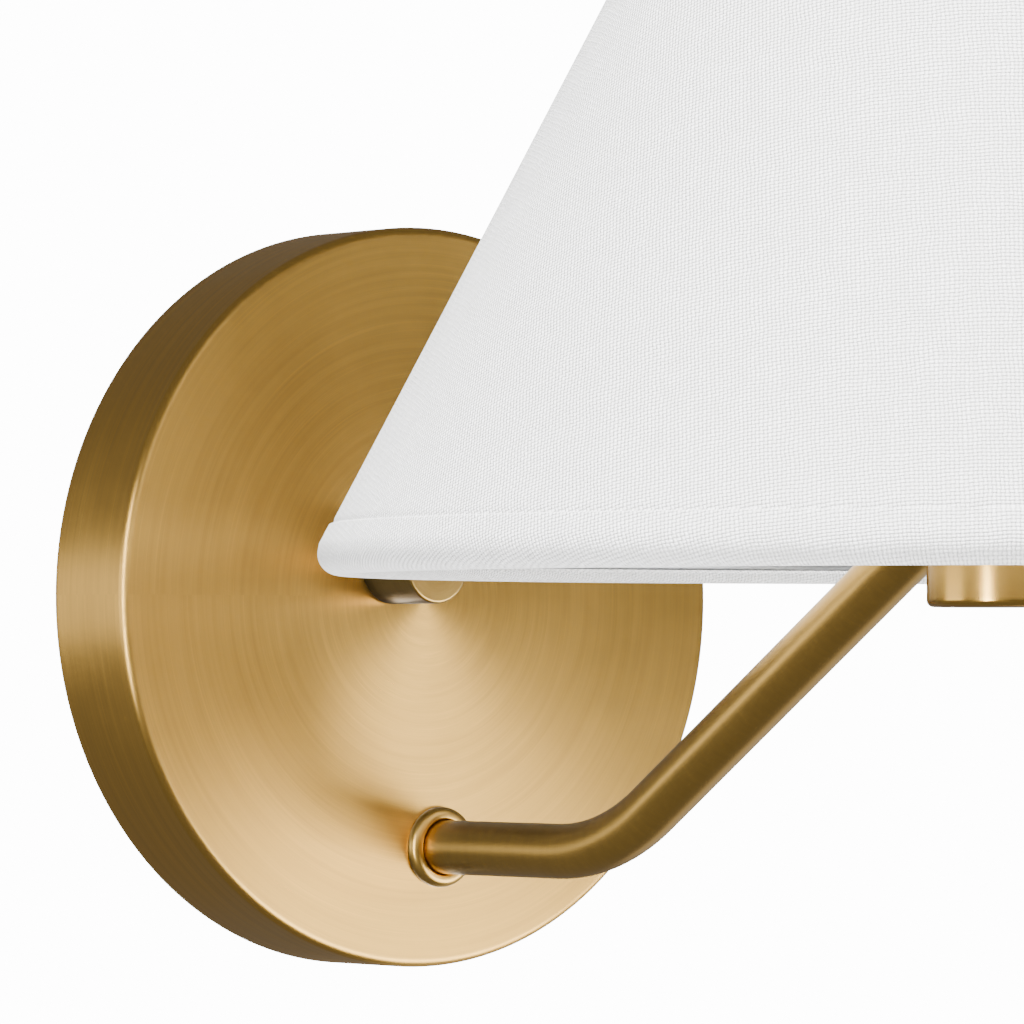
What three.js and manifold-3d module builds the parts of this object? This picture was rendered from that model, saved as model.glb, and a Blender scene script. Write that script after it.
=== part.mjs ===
// Wall sconce: a round back plate with a rotary switch, a bent tube arm and a tapered linen shade.
// Millimetres. +Z up, +X to the right when facing the wall, +Y into the wall.
// The origin is the centre of the back plate on the wall plane.
import * as THREE from 'three';
import { mergeVertices } from 'three/addons/utils/BufferGeometryUtils.js';
import Module from 'manifold-3d';

const wasm = await Module();
wasm.setup();

// ---------------------------------------------------------------- driving dimensions
const SEAT_GAP = 0.25; // between pieces that rest on each other
const SLIP_GAP = 0.3; // round a screw, pin or shaft in its hole
const TURN_GAP = 0.15; // round the arm tube where it turns in its collar

// back plate, a shallow pan whose open side lies on the wall
const PLATE_RADIUS = 65.3;
const PLATE_DEPTH = 20.3;
const PLATE_WALL = 1.5;
const PLATE_FILLET = 1.4;

// mounting strap: a cross-shaped bar on the wall inside the pan, with a bent tab at each end of its upright
const STRAP_THICK = 1.6;
const STRAP_UPRIGHT_WIDTH = 12;
const STRAP_CROSS_WIDTH = 16;
const STRAP_CROSS_HALF = 50;
const STRAP_TAB_CLEAR = 1.2;
const STRAP_TAB_DEPTH = 15;
const BOX_SCREW_SPACING = 82.6;
const BOX_SCREW_RADIUS = 2;
const BOX_SCREW_HEAD_RADIUS = 4.2;
const BOX_SCREW_HEAD = 2.6;
const GROUND_SCREW_X = 24;
const GROUND_SCREW_RADIUS = 1.7;
const GROUND_SCREW_HEAD_RADIUS = 3.6;
const GROUND_SCREW_HEAD = 2.2;
const RIM_SCREW_RADIUS = 1.7;
const RIM_SCREW_LENGTH = 6;
const RIM_SCREW_DEPTH = 9.5; // how far its axis stands off the wall

// rotary switch and its knob
const KNOB_X = -7.8;
const KNOB_Z = 5.4;
const KNOB_RADIUS = 6.75;
const KNOB_LENGTH = 13;
const KNOB_EDGE = 0.5;
const KNOB_OFF_PLATE = 0.5;
const SWITCH_RADIUS = 10;
const SWITCH_LENGTH = 11;
const SWITCH_BUSH_RADIUS = 3.6;
const SWITCH_NUT_FLATS = 9;
const SWITCH_NUT_THICK = 1.8;
const SHAFT_RADIUS = 2;
const SHAFT_IN_KNOB = 8;
const SHAFT_IN_SWITCH = 7;
const BUSH_PAST_NUT = 0.4;
const NUT_ROOM = 0.8; // between the switch nut and the floor of the knob's hollow
const KNOB_SCREW_RADIUS = 1.4;
const KNOB_SCREW_PAST_NUT = 3; // wall of the knob between its hollow and the screw's hole

// collar that the arm turns in
const ARM_X = 3.1;
const ARM_Z = -44.2; // height of the arm's first stretch
const COLLAR_BEAD = 2.2; // radial width of the bead round the tube
const COLLAR_PROUD = 1.7;
const COLLAR_SLEEVE_WALL = 1.2;
const COLLAR_SLEEVE_LENGTH = 8.4; // behind the plate's front face
const COLLAR_WASHER = 0.8;
const COLLAR_WASHER_RADIUS = 10;
const COLLAR_NUT_FLATS = 17;
const COLLAR_NUT_THICK = 2.8;
const STOP_RING_WALL = 3;
const STOP_RING_THICK = 2.4;
const STOP_LUG_LENGTH = 2;
const STOP_LUG_HALF_DEG = 12;
const STOP_SPARE_DEG = 3; // turn left between the lug and the notch's end at full swing
const ARM_SWING_DEG = 30; // to each side

// arm tube
const TUBE_RADIUS = 4.75;
const TUBE_WALL = 1;
const TUBE_RISE_DEG = 33.6;
const TUBE_BEND_RADIUS = 45;
const TUBE_MEETS_CUP = 24.2; // where its line crosses the cup's axis, above the cup's bottom
const TUBE_TIP_FROM_CUP_AXIS = 8.3;
const LEAD_RADIUS = 0.9;
const LEAD_SPREAD = 1.7; // each lead lies this far to the side of the tube's axis

// leads and the twist-on caps that join them to the house wires
const CAP_RADIUS = 3;
const CAP_LENGTH = 14;
const CAP_BORE_LENGTH = 8;
const CAP_BORE_SPARE = 0.6; // round the lead in the cap
const LEAD_IN_CAP = 4;
const SWITCH_LEAD_SPREAD = 4;
const SWITCH_CAP_SPREAD = 5;
const SWITCH_CAP_Z = 20; // above the switch's axis
const ARM_CAP_SPREAD = 4.2;
const ARM_CAP_Z = 8; // above the arm's axis

// socket cup, on the arm's outer end
const CUP_AXIS = 165.9; // from the wall
const CUP_RADIUS = 12.4;
const CUP_WALL = 1;
const CUP_FLOOR = 1.8;
const CUP_BOTTOM = -2.9;
const CUP_HEIGHT = 40;
const CUP_EDGE = 1;
const CUP_SCREW_RADIUS = 1.5;
const CUP_SCREW_HEAD_RADIUS = 2.6;
const CUP_SCREW_HEAD = 1;
const CUP_SCREW_LENGTH = 6.5;
const CUP_SCREW_SLOT = 0.7;
const POST_RADIUS = 2.8;
const POST_PLATE_THICK = 1.5;
const POST_PLATE_BELOW_RIM = 15; // top of the post's plate, down from the cup's rim
const POST_PLATE_CLEAR = 1.2; // between the post's plate and the cup's wall
const NOTCH_CLEAR = 0.6; // round the leads where they pass the post's plate

// socket, bulb and the nut that holds the shade
const SOCKET_FLOOR = 3;
const SOCKET_CLEAR = 0.5; // between the socket and the cup's wall
const CONTACT_HOLE = 1.5;
const SOCKET_BORE = 8.4;
const SOCKET_FLANGE_RADIUS = 14.5;
const SOCKET_FLANGE = 2.2;
const SOCKET_SLEEVE_RADIUS = 12;
const SOCKET_ABOVE_FLANGE = 13;
const SHELL_WALL = 0.5;
const SHELL_LENGTH = 22;
const CONTACT_RADIUS = 3;
const CONTACT_THICK = 0.8;
const CONTACT_STEM_SHORT = 0.4; // how far its stem stops above the socket's underside
const BULB_BASE_RADIUS = 6.9;
const BULB_BASE_LENGTH = 21;
const BULB_TIP_RADIUS = 2.4;
const BULB_TIP = 1.6;
const BULB_GLASS_RADIUS = 22;
const BULB_GLASS_WALL = 1;
const BULB_GLASS_LENGTH = 60;
const RING_NUT_WALL = 4;
const RING_NUT_HEIGHT = 5.5;

// shade: a cone of fabric rolled round a wire at each end, with a liner inside
const SHADE_BOTTOM_RADIUS = 111.5;
const SHADE_TOP_RADIUS = 45.3;
const SHADE_BOTTOM_Z = 2.1;
const SHADE_HEIGHT = 126.5;
const SHADE_FABRIC = 1;
const SHADE_LINER = 0.6;
const SHADE_LINER_GAP = 0.4;
const SHADE_WIRE_RADIUS = 2;
const LINER_SHORT = 0.8; // between the liner's edge and each wire
const SHADE_SIDES = 48;
const FITTER_THICK = 1.5;
const FITTER_WIDTH = 8.5;
const FITTER_ARM_RADIUS = 1.3;
const FITTER_ARMS = 3;

// ---------------------------------------------------------------- derived places
const rad = THREE.MathUtils.degToRad;
const rise = rad(TUBE_RISE_DEG);
const collarBore = TUBE_RADIUS + TURN_GAP;
const collarSleeve = collarBore + COLLAR_SLEEVE_WALL;
const collarBack = PLATE_DEPTH - COLLAR_SLEEVE_LENGTH;
const switchFront = PLATE_DEPTH - PLATE_WALL - SEAT_GAP;
const switchBack = switchFront - SWITCH_LENGTH;
const switchNutFront = PLATE_DEPTH + SEAT_GAP + SWITCH_NUT_THICK;
const knobBack = PLATE_DEPTH + KNOB_OFF_PLATE;
const knobHollowFloor = switchNutFront + NUT_ROOM;
const knobScrewOut = knobHollowFloor + KNOB_SCREW_PAST_NUT + KNOB_SCREW_RADIUS;
const cupTop = CUP_BOTTOM + CUP_HEIGHT;
const cupInside = CUP_RADIUS - CUP_WALL;
const stopRingFront = collarBack - SEAT_GAP;
const stopRingBack = stopRingFront - STOP_RING_THICK;
const tubeTail = stopRingBack - SEAT_GAP;
const switchLeadOut = switchBack + SWITCH_LENGTH * 0.4;
const armCapOut = (STRAP_THICK + tubeTail) / 2;
const washerFront = PLATE_DEPTH - PLATE_WALL - SEAT_GAP;
const collarNutFront = washerFront - COLLAR_WASHER - SEAT_GAP;
// where the tube's two straight stretches would meet, off the wall
const tubeCorner = CUP_AXIS - (CUP_BOTTOM + TUBE_MEETS_CUP - ARM_Z) / Math.tan(rise);
const tubeRiseAt = (offWall) => ARM_Z + (offWall - tubeCorner) * Math.tan(rise);
const tubeTipOut = CUP_AXIS - TUBE_TIP_FROM_CUP_AXIS;
const postPlateTop = cupTop - POST_PLATE_BELOW_RIM;
const socketBottom = postPlateTop + SEAT_GAP;
const socketFlangeBottom = cupTop + SEAT_GAP;
const socketFlangeTop = socketFlangeBottom + SOCKET_FLANGE;
const socketTop = socketFlangeTop + SOCKET_ABOVE_FLANGE;
const contactBottom = socketBottom + SOCKET_FLOOR + SEAT_GAP;
const bulbTip = contactBottom + CONTACT_THICK + SEAT_GAP;
const bulbBaseTop = bulbTip + BULB_TIP + BULB_BASE_LENGTH;
const fitterBottom = socketFlangeTop + SEAT_GAP;
const ringNutBottom = fitterBottom + FITTER_THICK + SEAT_GAP;
const fitterInside = SOCKET_SLEEVE_RADIUS + SLIP_GAP;
const shadeSlope = (SHADE_BOTTOM_RADIUS - SHADE_TOP_RADIUS) / SHADE_HEIGHT;
const shadeTilt = Math.atan(shadeSlope);
const rollRadius = SHADE_WIRE_RADIUS + SHADE_LINER_GAP + SHADE_FABRIC;

// ---------------------------------------------------------------- shaping helpers
// One clean closed body: shared corners merged, no empty triangles, faces pointing out.
function closedBody(geometry) {
  const bare = geometry.clone();
  for (const name of Object.keys(bare.attributes)) {
    if (name !== 'position') bare.deleteAttribute(name);
  }
  const merged = mergeVertices(bare, 1e-4);
  const corner = merged.index.array;
  const place = merged.attributes.position.array;
  const kept = [];
  let volume = 0;
  const a = new THREE.Vector3();
  const b = new THREE.Vector3();
  const c = new THREE.Vector3();
  for (let i = 0; i < corner.length; i += 3) {
    const [p, q, r] = [corner[i], corner[i + 1], corner[i + 2]];
    if (p === q || q === r || r === p) continue;
    kept.push(p, q, r);
    a.fromArray(place, p * 3);
    b.fromArray(place, q * 3);
    c.fromArray(place, r * 3);
    volume += a.dot(b.cross(c));
  }
  if (volume < 0) kept.reverse();
  merged.setIndex(kept);
  merged.computeVertexNormals();
  return merged;
}

function solidFrom(geometry) {
  const body = closedBody(geometry);
  return new wasm.Manifold(new wasm.Mesh({
    numProp: 3,
    vertProperties: new Float32Array(body.attributes.position.array),
    triVerts: new Uint32Array(body.index.array),
  }));
}

function geometryFrom(solid) {
  const mesh = solid.getMesh();
  const geometry = new THREE.BufferGeometry();
  geometry.setAttribute('position', new THREE.BufferAttribute(new Float32Array(mesh.vertProperties), 3));
  geometry.setIndex(Array.from(mesh.triVerts));
  return closedBody(geometry);
}

function cut(base, ...tools) {
  const solid = tools.reduce((rest, tool) => rest.subtract(solidFrom(tool)), solidFrom(base));
  return geometryFrom(solid);
}

function joined(...pieces) {
  const [first, ...rest] = pieces.map(solidFrom);
  return geometryFrom(rest.reduce((whole, piece) => whole.add(piece), first));
}

// Points on an arc in a profile, from one angle to another in degrees.
function arc(centreX, centreY, radius, from, to, steps) {
  return Array.from({ length: steps + 1 }, (_, i) => {
    const angle = rad(from + ((to - from) * i) / steps);
    return [centreX + radius * Math.cos(angle), centreY + radius * Math.sin(angle)];
  });
}

function lathe(profile, sides) {
  const points = profile.map(([radius, along]) => new THREE.Vector2(Math.max(radius, 0), along));
  const onAxis = points[0].x === 0 && points[points.length - 1].x === 0;
  if (!onAxis) points.push(points[0].clone());
  return new THREE.LatheGeometry(points, sides);
}

// Turned about the wall's normal; the profile is [radius, distance off the wall].
function turnedOut(profile, sides = 40) {
  return closedBody(lathe(profile.map(([radius, out]) => [radius, -out]), sides));
}

// Turned about the upright axis; the profile is [radius, height].
function turnedUp(profile, sides = 40) {
  return closedBody(lathe(profile, sides).rotateX(Math.PI / 2));
}

function ring(inner, outer, from, to) {
  return [[inner, from], [outer, from], [outer, to], [inner, to]];
}

function disc(radius, from, to) {
  return [[0, from], [radius, from], [radius, to], [0, to]];
}

// A round pin along X, Y or Z between two places on that axis.
function pin(axis, radius, from, to, sides = 20) {
  const geometry = new THREE.CylinderGeometry(radius, radius, to - from, sides);
  geometry.translate(0, (from + to) / 2, 0);
  if (axis === 'x') geometry.rotateZ(-Math.PI / 2);
  if (axis === 'z') geometry.rotateX(Math.PI / 2);
  return geometry;
}

function block(x0, x1, y0, y1, z0, z1) {
  const geometry = new THREE.BoxGeometry(x1 - x0, y1 - y0, z1 - z0);
  return geometry.translate((x0 + x1) / 2, (y0 + y1) / 2, (z0 + z1) / 2);
}

function circleShape(radius, sides, bore = 0, boreSides = 12) {
  const round = (r, n) => Array.from({ length: n }, (_, i) => {
    const angle = (2 * Math.PI * i) / n;
    return new THREE.Vector2(r * Math.cos(angle), r * Math.sin(angle));
  });
  const shape = new THREE.Shape(round(radius, sides));
  if (bore > 0) shape.holes.push(new THREE.Path(round(bore, boreSides).reverse()));
  return shape;
}

// A hexagon prism standing on the wall's normal, with a round bore, between two distances off the wall.
function hexOut(flats, bore, from, to) {
  const shape = circleShape(flats / 2 / Math.cos(Math.PI / 6), 6, bore, 24);
  const geometry = new THREE.ExtrudeGeometry(shape, { depth: to - from, bevelEnabled: false });
  return closedBody(geometry.rotateX(Math.PI / 2).translate(0, -from, 0));
}

function swept(shape, path, steps) {
  return closedBody(new THREE.ExtrudeGeometry(shape, { steps, extrudePath: path, bevelEnabled: false }));
}

// ---------------------------------------------------------------- the arm's centreline
// Straight out of the collar, one bend upwards, then straight to the cup. It is drawn in the
// arm's own group, whose origin is on the wall plane at the collar's axis.
const bendTangent = TUBE_BEND_RADIUS * Math.tan(rise / 2);
const bendStart = tubeCorner - bendTangent;

function armPoint(out, x = 0) {
  if (out <= bendStart) return new THREE.Vector3(x, -out, 0);
  const bendEnd = tubeCorner + bendTangent * Math.cos(rise);
  if (out >= bendEnd) return new THREE.Vector3(x, -out, tubeRiseAt(out) - ARM_Z);
  const angle = Math.asin((out - bendStart) / TUBE_BEND_RADIUS);
  return new THREE.Vector3(x, -out, TUBE_BEND_RADIUS * (1 - Math.cos(angle)));
}

function armPath(from, to) {
  const bendEnd = tubeCorner + bendTangent * Math.cos(rise);
  const handle = (4 / 3) * Math.tan(rise / 4) * TUBE_BEND_RADIUS;
  const start = armPoint(bendStart);
  const end = armPoint(bendEnd);
  const path = new THREE.CurvePath();
  path.add(new THREE.LineCurve3(armPoint(from), start));
  path.add(new THREE.CubicBezierCurve3(
    start,
    start.clone().add(new THREE.Vector3(0, -handle, 0)),
    end.clone().sub(new THREE.Vector3(0, -handle * Math.cos(rise), handle * Math.sin(rise))),
    end,
  ));
  path.add(new THREE.LineCurve3(end, armPoint(to)));
  return path;
}

// ---------------------------------------------------------------- back plate and what it carries
function backPlate() {
  const inside = PLATE_RADIUS - PLATE_WALL;
  const innerFillet = Math.max(PLATE_FILLET - PLATE_WALL / 2, 0.3);
  const pan = turnedOut([
    [0, PLATE_DEPTH - PLATE_WALL],
    ...arc(inside - innerFillet, PLATE_DEPTH - PLATE_WALL - innerFillet, innerFillet, 90, 0, 2),
    [inside, 0],
    [PLATE_RADIUS, 0],
    ...arc(PLATE_RADIUS - PLATE_FILLET, PLATE_DEPTH - PLATE_FILLET, PLATE_FILLET, 0, 90, 4),
    [0, PLATE_DEPTH],
  ], 60);
  const through = [-PLATE_DEPTH - 1, -PLATE_DEPTH + PLATE_WALL + 1];
  const rimHole = (side) => {
    const span = [PLATE_RADIUS - PLATE_WALL - 1, PLATE_RADIUS + 1].map((r) => side * r).sort((a, b) => a - b);
    return pin('z', RIM_SCREW_RADIUS + SLIP_GAP, ...span).translate(0, -RIM_SCREW_DEPTH, 0);
  };
  return cut(
    pan,
    pin('y', collarSleeve + SLIP_GAP, ...through, 40).translate(ARM_X, 0, ARM_Z),
    pin('y', SWITCH_BUSH_RADIUS + SLIP_GAP, ...through, 32).translate(KNOB_X, 0, KNOB_Z),
    rimHole(1),
    rimHole(-1),
  );
}

function mountingStrap() {
  const reach = PLATE_RADIUS - PLATE_WALL - STRAP_TAB_CLEAR;
  const half = STRAP_UPRIGHT_WIDTH / 2;
  const upright = block(-half, half, -STRAP_THICK, 0, -reach, reach);
  const cross = block(
    -STRAP_CROSS_HALF, STRAP_CROSS_HALF, -STRAP_THICK, 0, -STRAP_CROSS_WIDTH / 2, STRAP_CROSS_WIDTH / 2,
  );
  const tab = (side) => {
    const span = [side * reach, side * (reach - STRAP_THICK)].sort((a, b) => a - b);
    return block(-half, half, -STRAP_TAB_DEPTH, 0, ...span);
  };
  const hole = (x, radius) => pin('y', radius + SLIP_GAP, -STRAP_THICK - 1, 1).translate(x, 0, 0);
  const tabHole = pin('z', RIM_SCREW_RADIUS + SLIP_GAP, -reach - 1, reach + 1);
  tabHole.translate(0, -RIM_SCREW_DEPTH, 0);
  return cut(
    joined(upright, cross, tab(1), tab(-1)),
    hole(-BOX_SCREW_SPACING / 2, BOX_SCREW_RADIUS),
    hole(BOX_SCREW_SPACING / 2, BOX_SCREW_RADIUS),
    hole(GROUND_SCREW_X, GROUND_SCREW_RADIUS),
    tabHole,
  );
}

// A pan-head screw through the strap, its slot across the head.
function strapScrew(radius, headRadius, head) {
  const seat = STRAP_THICK + SEAT_GAP;
  const dome = head * 0.45;
  const body = turnedOut([
    [0, 0], [radius, 0], [radius, seat], [headRadius, seat], [headRadius, seat + head - dome],
    [headRadius * 0.8, seat + head - dome * 0.3], [headRadius * 0.4, seat + head], [0, seat + head],
  ], 24);
  const slotHalf = headRadius * 0.12;
  const past = headRadius + 1;
  return cut(body, block(-past, past, -seat - head - 1, -seat - head * 0.5, -slotHalf, slotHalf));
}

// A headless screw with a hexagon socket, standing on the upright axis.
function grubScrew(radius, length) {
  const socket = pin('z', radius * 0.55, length * 0.55, length + 1, 6);
  return cut(pin('z', radius, 0, length, 20), socket);
}

function switchHousing() {
  const bushFront = switchNutFront + BUSH_PAST_NUT;
  const bore = SHAFT_RADIUS + SLIP_GAP;
  const boreEnd = switchFront - SHAFT_IN_SWITCH - SEAT_GAP;
  return turnedOut([
    [0, switchBack],
    [SWITCH_RADIUS, switchBack],
    [SWITCH_RADIUS, switchFront],
    [SWITCH_BUSH_RADIUS, switchFront],
    [SWITCH_BUSH_RADIUS, bushFront],
    [bore, bushFront],
    [bore, boreEnd],
    [0, boreEnd],
  ], 36);
}

function controlKnob() {
  const face = knobBack + KNOB_LENGTH;
  const nutRoom = SWITCH_NUT_FLATS / 2 / Math.cos(Math.PI / 6) + SLIP_GAP;
  const bore = SHAFT_RADIUS + SLIP_GAP;
  const boreEnd = knobHollowFloor + SHAFT_IN_KNOB + SEAT_GAP;
  const body = turnedOut([
    [nutRoom, knobBack],
    [KNOB_RADIUS, knobBack],
    ...arc(KNOB_RADIUS - KNOB_EDGE, face - KNOB_EDGE, KNOB_EDGE, 0, 90, 3),
    [0, face],
    [0, boreEnd],
    [bore, boreEnd],
    [bore, knobHollowFloor],
    [nutRoom, knobHollowFloor],
  ], 36);
  const hole = pin('z', KNOB_SCREW_RADIUS + SLIP_GAP, bore / 2, KNOB_RADIUS + 1);
  return cut(body, hole.translate(0, -knobScrewOut, 0));
}

function switchShaft() {
  return turnedOut(disc(SHAFT_RADIUS, switchFront - SHAFT_IN_SWITCH, knobHollowFloor + SHAFT_IN_KNOB), 24);
}

function armCollar() {
  const seat = PLATE_DEPTH + SEAT_GAP;
  const beadHalf = COLLAR_BEAD / 2;
  const body = turnedOut([
    [collarBore, collarBack],
    [collarSleeve, collarBack],
    [collarSleeve, seat],
    [collarBore + COLLAR_BEAD, seat],
    ...arc(collarBore + beadHalf, seat + COLLAR_PROUD - beadHalf, beadHalf, 0, 180, 6),
  ], 36);
  // the notch at the sleeve's inner end, which the stop ring's lug runs in
  const notch = sector(
    collarBore - 1, collarSleeve + 1, ARM_SWING_DEG + STOP_LUG_HALF_DEG + STOP_SPARE_DEG,
    collarBack - 1, collarBack + STOP_LUG_LENGTH + SLIP_GAP,
  );
  return cut(body, notch);
}

// Part of a ring about the wall's normal, centred on the upward direction.
function sector(inner, outer, halfDegrees, from, to) {
  const outline = [
    ...arc(0, 0, outer, 90 - halfDegrees, 90 + halfDegrees, 12),
    ...arc(0, 0, inner, 90 + halfDegrees, 90 - halfDegrees, 12),
  ].map(([x, y]) => new THREE.Vector2(x, y));
  const settings = { depth: to - from, bevelEnabled: false };
  const geometry = new THREE.ExtrudeGeometry(new THREE.Shape(outline), settings);
  return geometry.rotateX(Math.PI / 2).translate(0, -from, 0);
}

function stopRing() {
  const inner = TUBE_RADIUS + SEAT_GAP;
  const ringBody = turnedOut(ring(inner, TUBE_RADIUS + STOP_RING_WALL, stopRingBack, stopRingFront), 36);
  const lug = sector(inner, collarSleeve, STOP_LUG_HALF_DEG, stopRingFront - 1, collarBack + STOP_LUG_LENGTH);
  return joined(ringBody, lug);
}

// ---------------------------------------------------------------- wiring
function lead(points, steps) {
  const path = new THREE.CatmullRomCurve3(points.map((p) => new THREE.Vector3(...p)), false, 'centripetal');
  return swept(circleShape(LEAD_RADIUS, 6), path, steps);
}

// A twist-on cap, mouth down, its mouth at height zero.
function spliceCap() {
  const bore = LEAD_RADIUS + CAP_BORE_SPARE;
  return turnedUp([
    [bore, 0], [CAP_RADIUS, 0], [CAP_RADIUS * 0.78, CAP_LENGTH - 1], [CAP_RADIUS * 0.5, CAP_LENGTH],
    [0, CAP_LENGTH], [0, CAP_BORE_LENGTH], [bore, CAP_BORE_LENGTH],
  ], 16);
}

function switchLead(side) {
  const startX = side * SWITCH_LEAD_SPREAD;
  const startZ = Math.sqrt(SWITCH_RADIUS ** 2 - SWITCH_LEAD_SPREAD ** 2) + LEAD_RADIUS;
  const endX = side * SWITCH_CAP_SPREAD;
  return lead([
    [startX, -switchLeadOut, startZ],
    [startX, -switchLeadOut, startZ + 2],
    [endX, -switchLeadOut, SWITCH_CAP_Z - 2],
    [endX, -switchLeadOut, SWITCH_CAP_Z + LEAD_IN_CAP],
  ], 10);
}

function armLead(side) {
  const inTube = side * LEAD_SPREAD;
  const between = (from, to, share) => from + (to - from) * share;
  const stops = [
    tubeTail + 7, between(tubeTail, bendStart, 0.5), between(tubeTail, bendStart, 0.8), bendStart,
    tubeCorner - 4, tubeCorner + 4,
    ...[0.25, 0.5, 0.8].map((share) => between(tubeCorner, tubeTipOut, share)), tubeTipOut - 2,
  ];
  const riseTip = armPoint(tubeTipOut);
  const postTop = postPlateTop - ARM_Z;
  return lead([
    [side * ARM_CAP_SPREAD, -armCapOut, ARM_CAP_Z + LEAD_IN_CAP],
    [side * ARM_CAP_SPREAD, -armCapOut, ARM_CAP_Z - 2],
    [side * 3.2, -armCapOut - 0.8, 2.6],
    [inTube, -tubeTail - 1.2, 0.2],
    ...stops.map((out) => armPoint(out, inTube).toArray()),
    [inTube, riseTip.y - 1.8, riseTip.z + 1.6],
    [inTube, riseTip.y - 2.4, postTop - 1.5],
    [inTube, riseTip.y - 2.4, postTop],
  ], 44);
}

// ---------------------------------------------------------------- arm, cup and socket
function armTube() {
  const shape = circleShape(TUBE_RADIUS, 16, TUBE_RADIUS - TUBE_WALL, 10);
  return swept(shape, armPath(tubeTail, tubeTipOut), 26);
}

function socketCup() {
  const screwHole = CUP_SCREW_RADIUS + SLIP_GAP;
  const headHole = CUP_SCREW_HEAD_RADIUS + SLIP_GAP;
  const headDepth = CUP_SCREW_HEAD + SEAT_GAP;
  const body = turnedUp([
    [headHole, CUP_BOTTOM],
    ...arc(CUP_RADIUS - CUP_EDGE, CUP_BOTTOM + CUP_EDGE, CUP_EDGE, -90, 0, 4),
    [CUP_RADIUS, cupTop],
    [cupInside, cupTop],
    [cupInside, CUP_BOTTOM + CUP_FLOOR],
    [screwHole, CUP_BOTTOM + CUP_FLOOR],
    [screwHole, CUP_BOTTOM + headDepth],
    [headHole, CUP_BOTTOM + headDepth],
  ], 36);
  // the tube enters through a slanted hole in the side that faces the wall
  const hole = new THREE.CylinderGeometry(TUBE_RADIUS + SLIP_GAP, TUBE_RADIUS + SLIP_GAP, 30, 32);
  hole.translate(0, 15, 0).rotateX(-rise);
  const axisHeight = tubeRiseAt(CUP_AXIS);
  return cut(body, hole.translate(0, 0, axisHeight));
}

function cupScrew() {
  const head = CUP_BOTTOM + CUP_SCREW_HEAD;
  const body = turnedUp([
    [0, CUP_BOTTOM], [CUP_SCREW_HEAD_RADIUS, CUP_BOTTOM], [CUP_SCREW_HEAD_RADIUS, head],
    [CUP_SCREW_RADIUS, head], [CUP_SCREW_RADIUS, head + CUP_SCREW_LENGTH], [0, head + CUP_SCREW_LENGTH],
  ], 24);
  const past = CUP_SCREW_HEAD_RADIUS + 1;
  const slotHalf = CUP_SCREW_SLOT / 2;
  const slot = block(-past, past, -slotHalf, slotHalf, CUP_BOTTOM - 1, CUP_BOTTOM + CUP_SCREW_HEAD * 0.5);
  return cut(body, slot);
}

// A post on the cup's floor with a round plate on top that the socket stands on.
function socketPost() {
  const bottom = CUP_BOTTOM + CUP_FLOOR + SEAT_GAP;
  const bore = CUP_SCREW_RADIUS + SLIP_GAP;
  const boreTop = CUP_BOTTOM + CUP_SCREW_HEAD + CUP_SCREW_LENGTH + 1;
  const plateRadius = cupInside - POST_PLATE_CLEAR;
  const body = turnedUp([
    [bore, bottom], [POST_RADIUS, bottom], [POST_RADIUS, postPlateTop - POST_PLATE_THICK],
    [plateRadius, postPlateTop - POST_PLATE_THICK], [plateRadius, postPlateTop],
    [0, postPlateTop], [0, boreTop], [bore, boreTop],
  ], 32);
  const notchSide = LEAD_SPREAD + LEAD_RADIUS + NOTCH_CLEAR;
  const notch = block(
    -notchSide, notchSide, POST_RADIUS + NOTCH_CLEAR, plateRadius + 1,
    postPlateTop - POST_PLATE_THICK - 1, postPlateTop + 1,
  );
  return cut(body, notch);
}

function socketBody() {
  const lower = cupInside - SOCKET_CLEAR;
  return turnedUp([
    [CONTACT_HOLE, socketBottom],
    [lower, socketBottom],
    [lower, socketFlangeBottom],
    [SOCKET_FLANGE_RADIUS, socketFlangeBottom],
    [SOCKET_FLANGE_RADIUS, socketFlangeTop],
    [SOCKET_SLEEVE_RADIUS, socketFlangeTop],
    [SOCKET_SLEEVE_RADIUS, socketTop],
    [SOCKET_BORE, socketTop],
    [SOCKET_BORE, socketBottom + SOCKET_FLOOR],
    [CONTACT_HOLE, socketBottom + SOCKET_FLOOR],
  ], 40);
}

function screwShell() {
  const outer = SOCKET_BORE - SEAT_GAP;
  const bottom = contactBottom + CONTACT_THICK + 0.6;
  return turnedUp(ring(outer - SHELL_WALL, outer, bottom, bottom + SHELL_LENGTH), 36);
}

function centreContact() {
  const stem = CONTACT_HOLE - SLIP_GAP;
  const stemBottom = socketBottom + CONTACT_STEM_SHORT;
  return turnedUp([
    [0, stemBottom], [stem, stemBottom], [stem, contactBottom],
    [CONTACT_RADIUS, contactBottom], [CONTACT_RADIUS * 0.8, contactBottom + CONTACT_THICK],
    [0, contactBottom + CONTACT_THICK],
  ], 20);
}

function bulbBase() {
  const skirt = bulbTip + BULB_TIP;
  return turnedUp([
    [0, bulbTip], [BULB_TIP_RADIUS, bulbTip], [BULB_TIP_RADIUS, skirt], [BULB_BASE_RADIUS - 1.2, skirt],
    [BULB_BASE_RADIUS, skirt + 2], [BULB_BASE_RADIUS, bulbBaseTop], [0, bulbBaseTop],
  ], 32);
}

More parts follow.
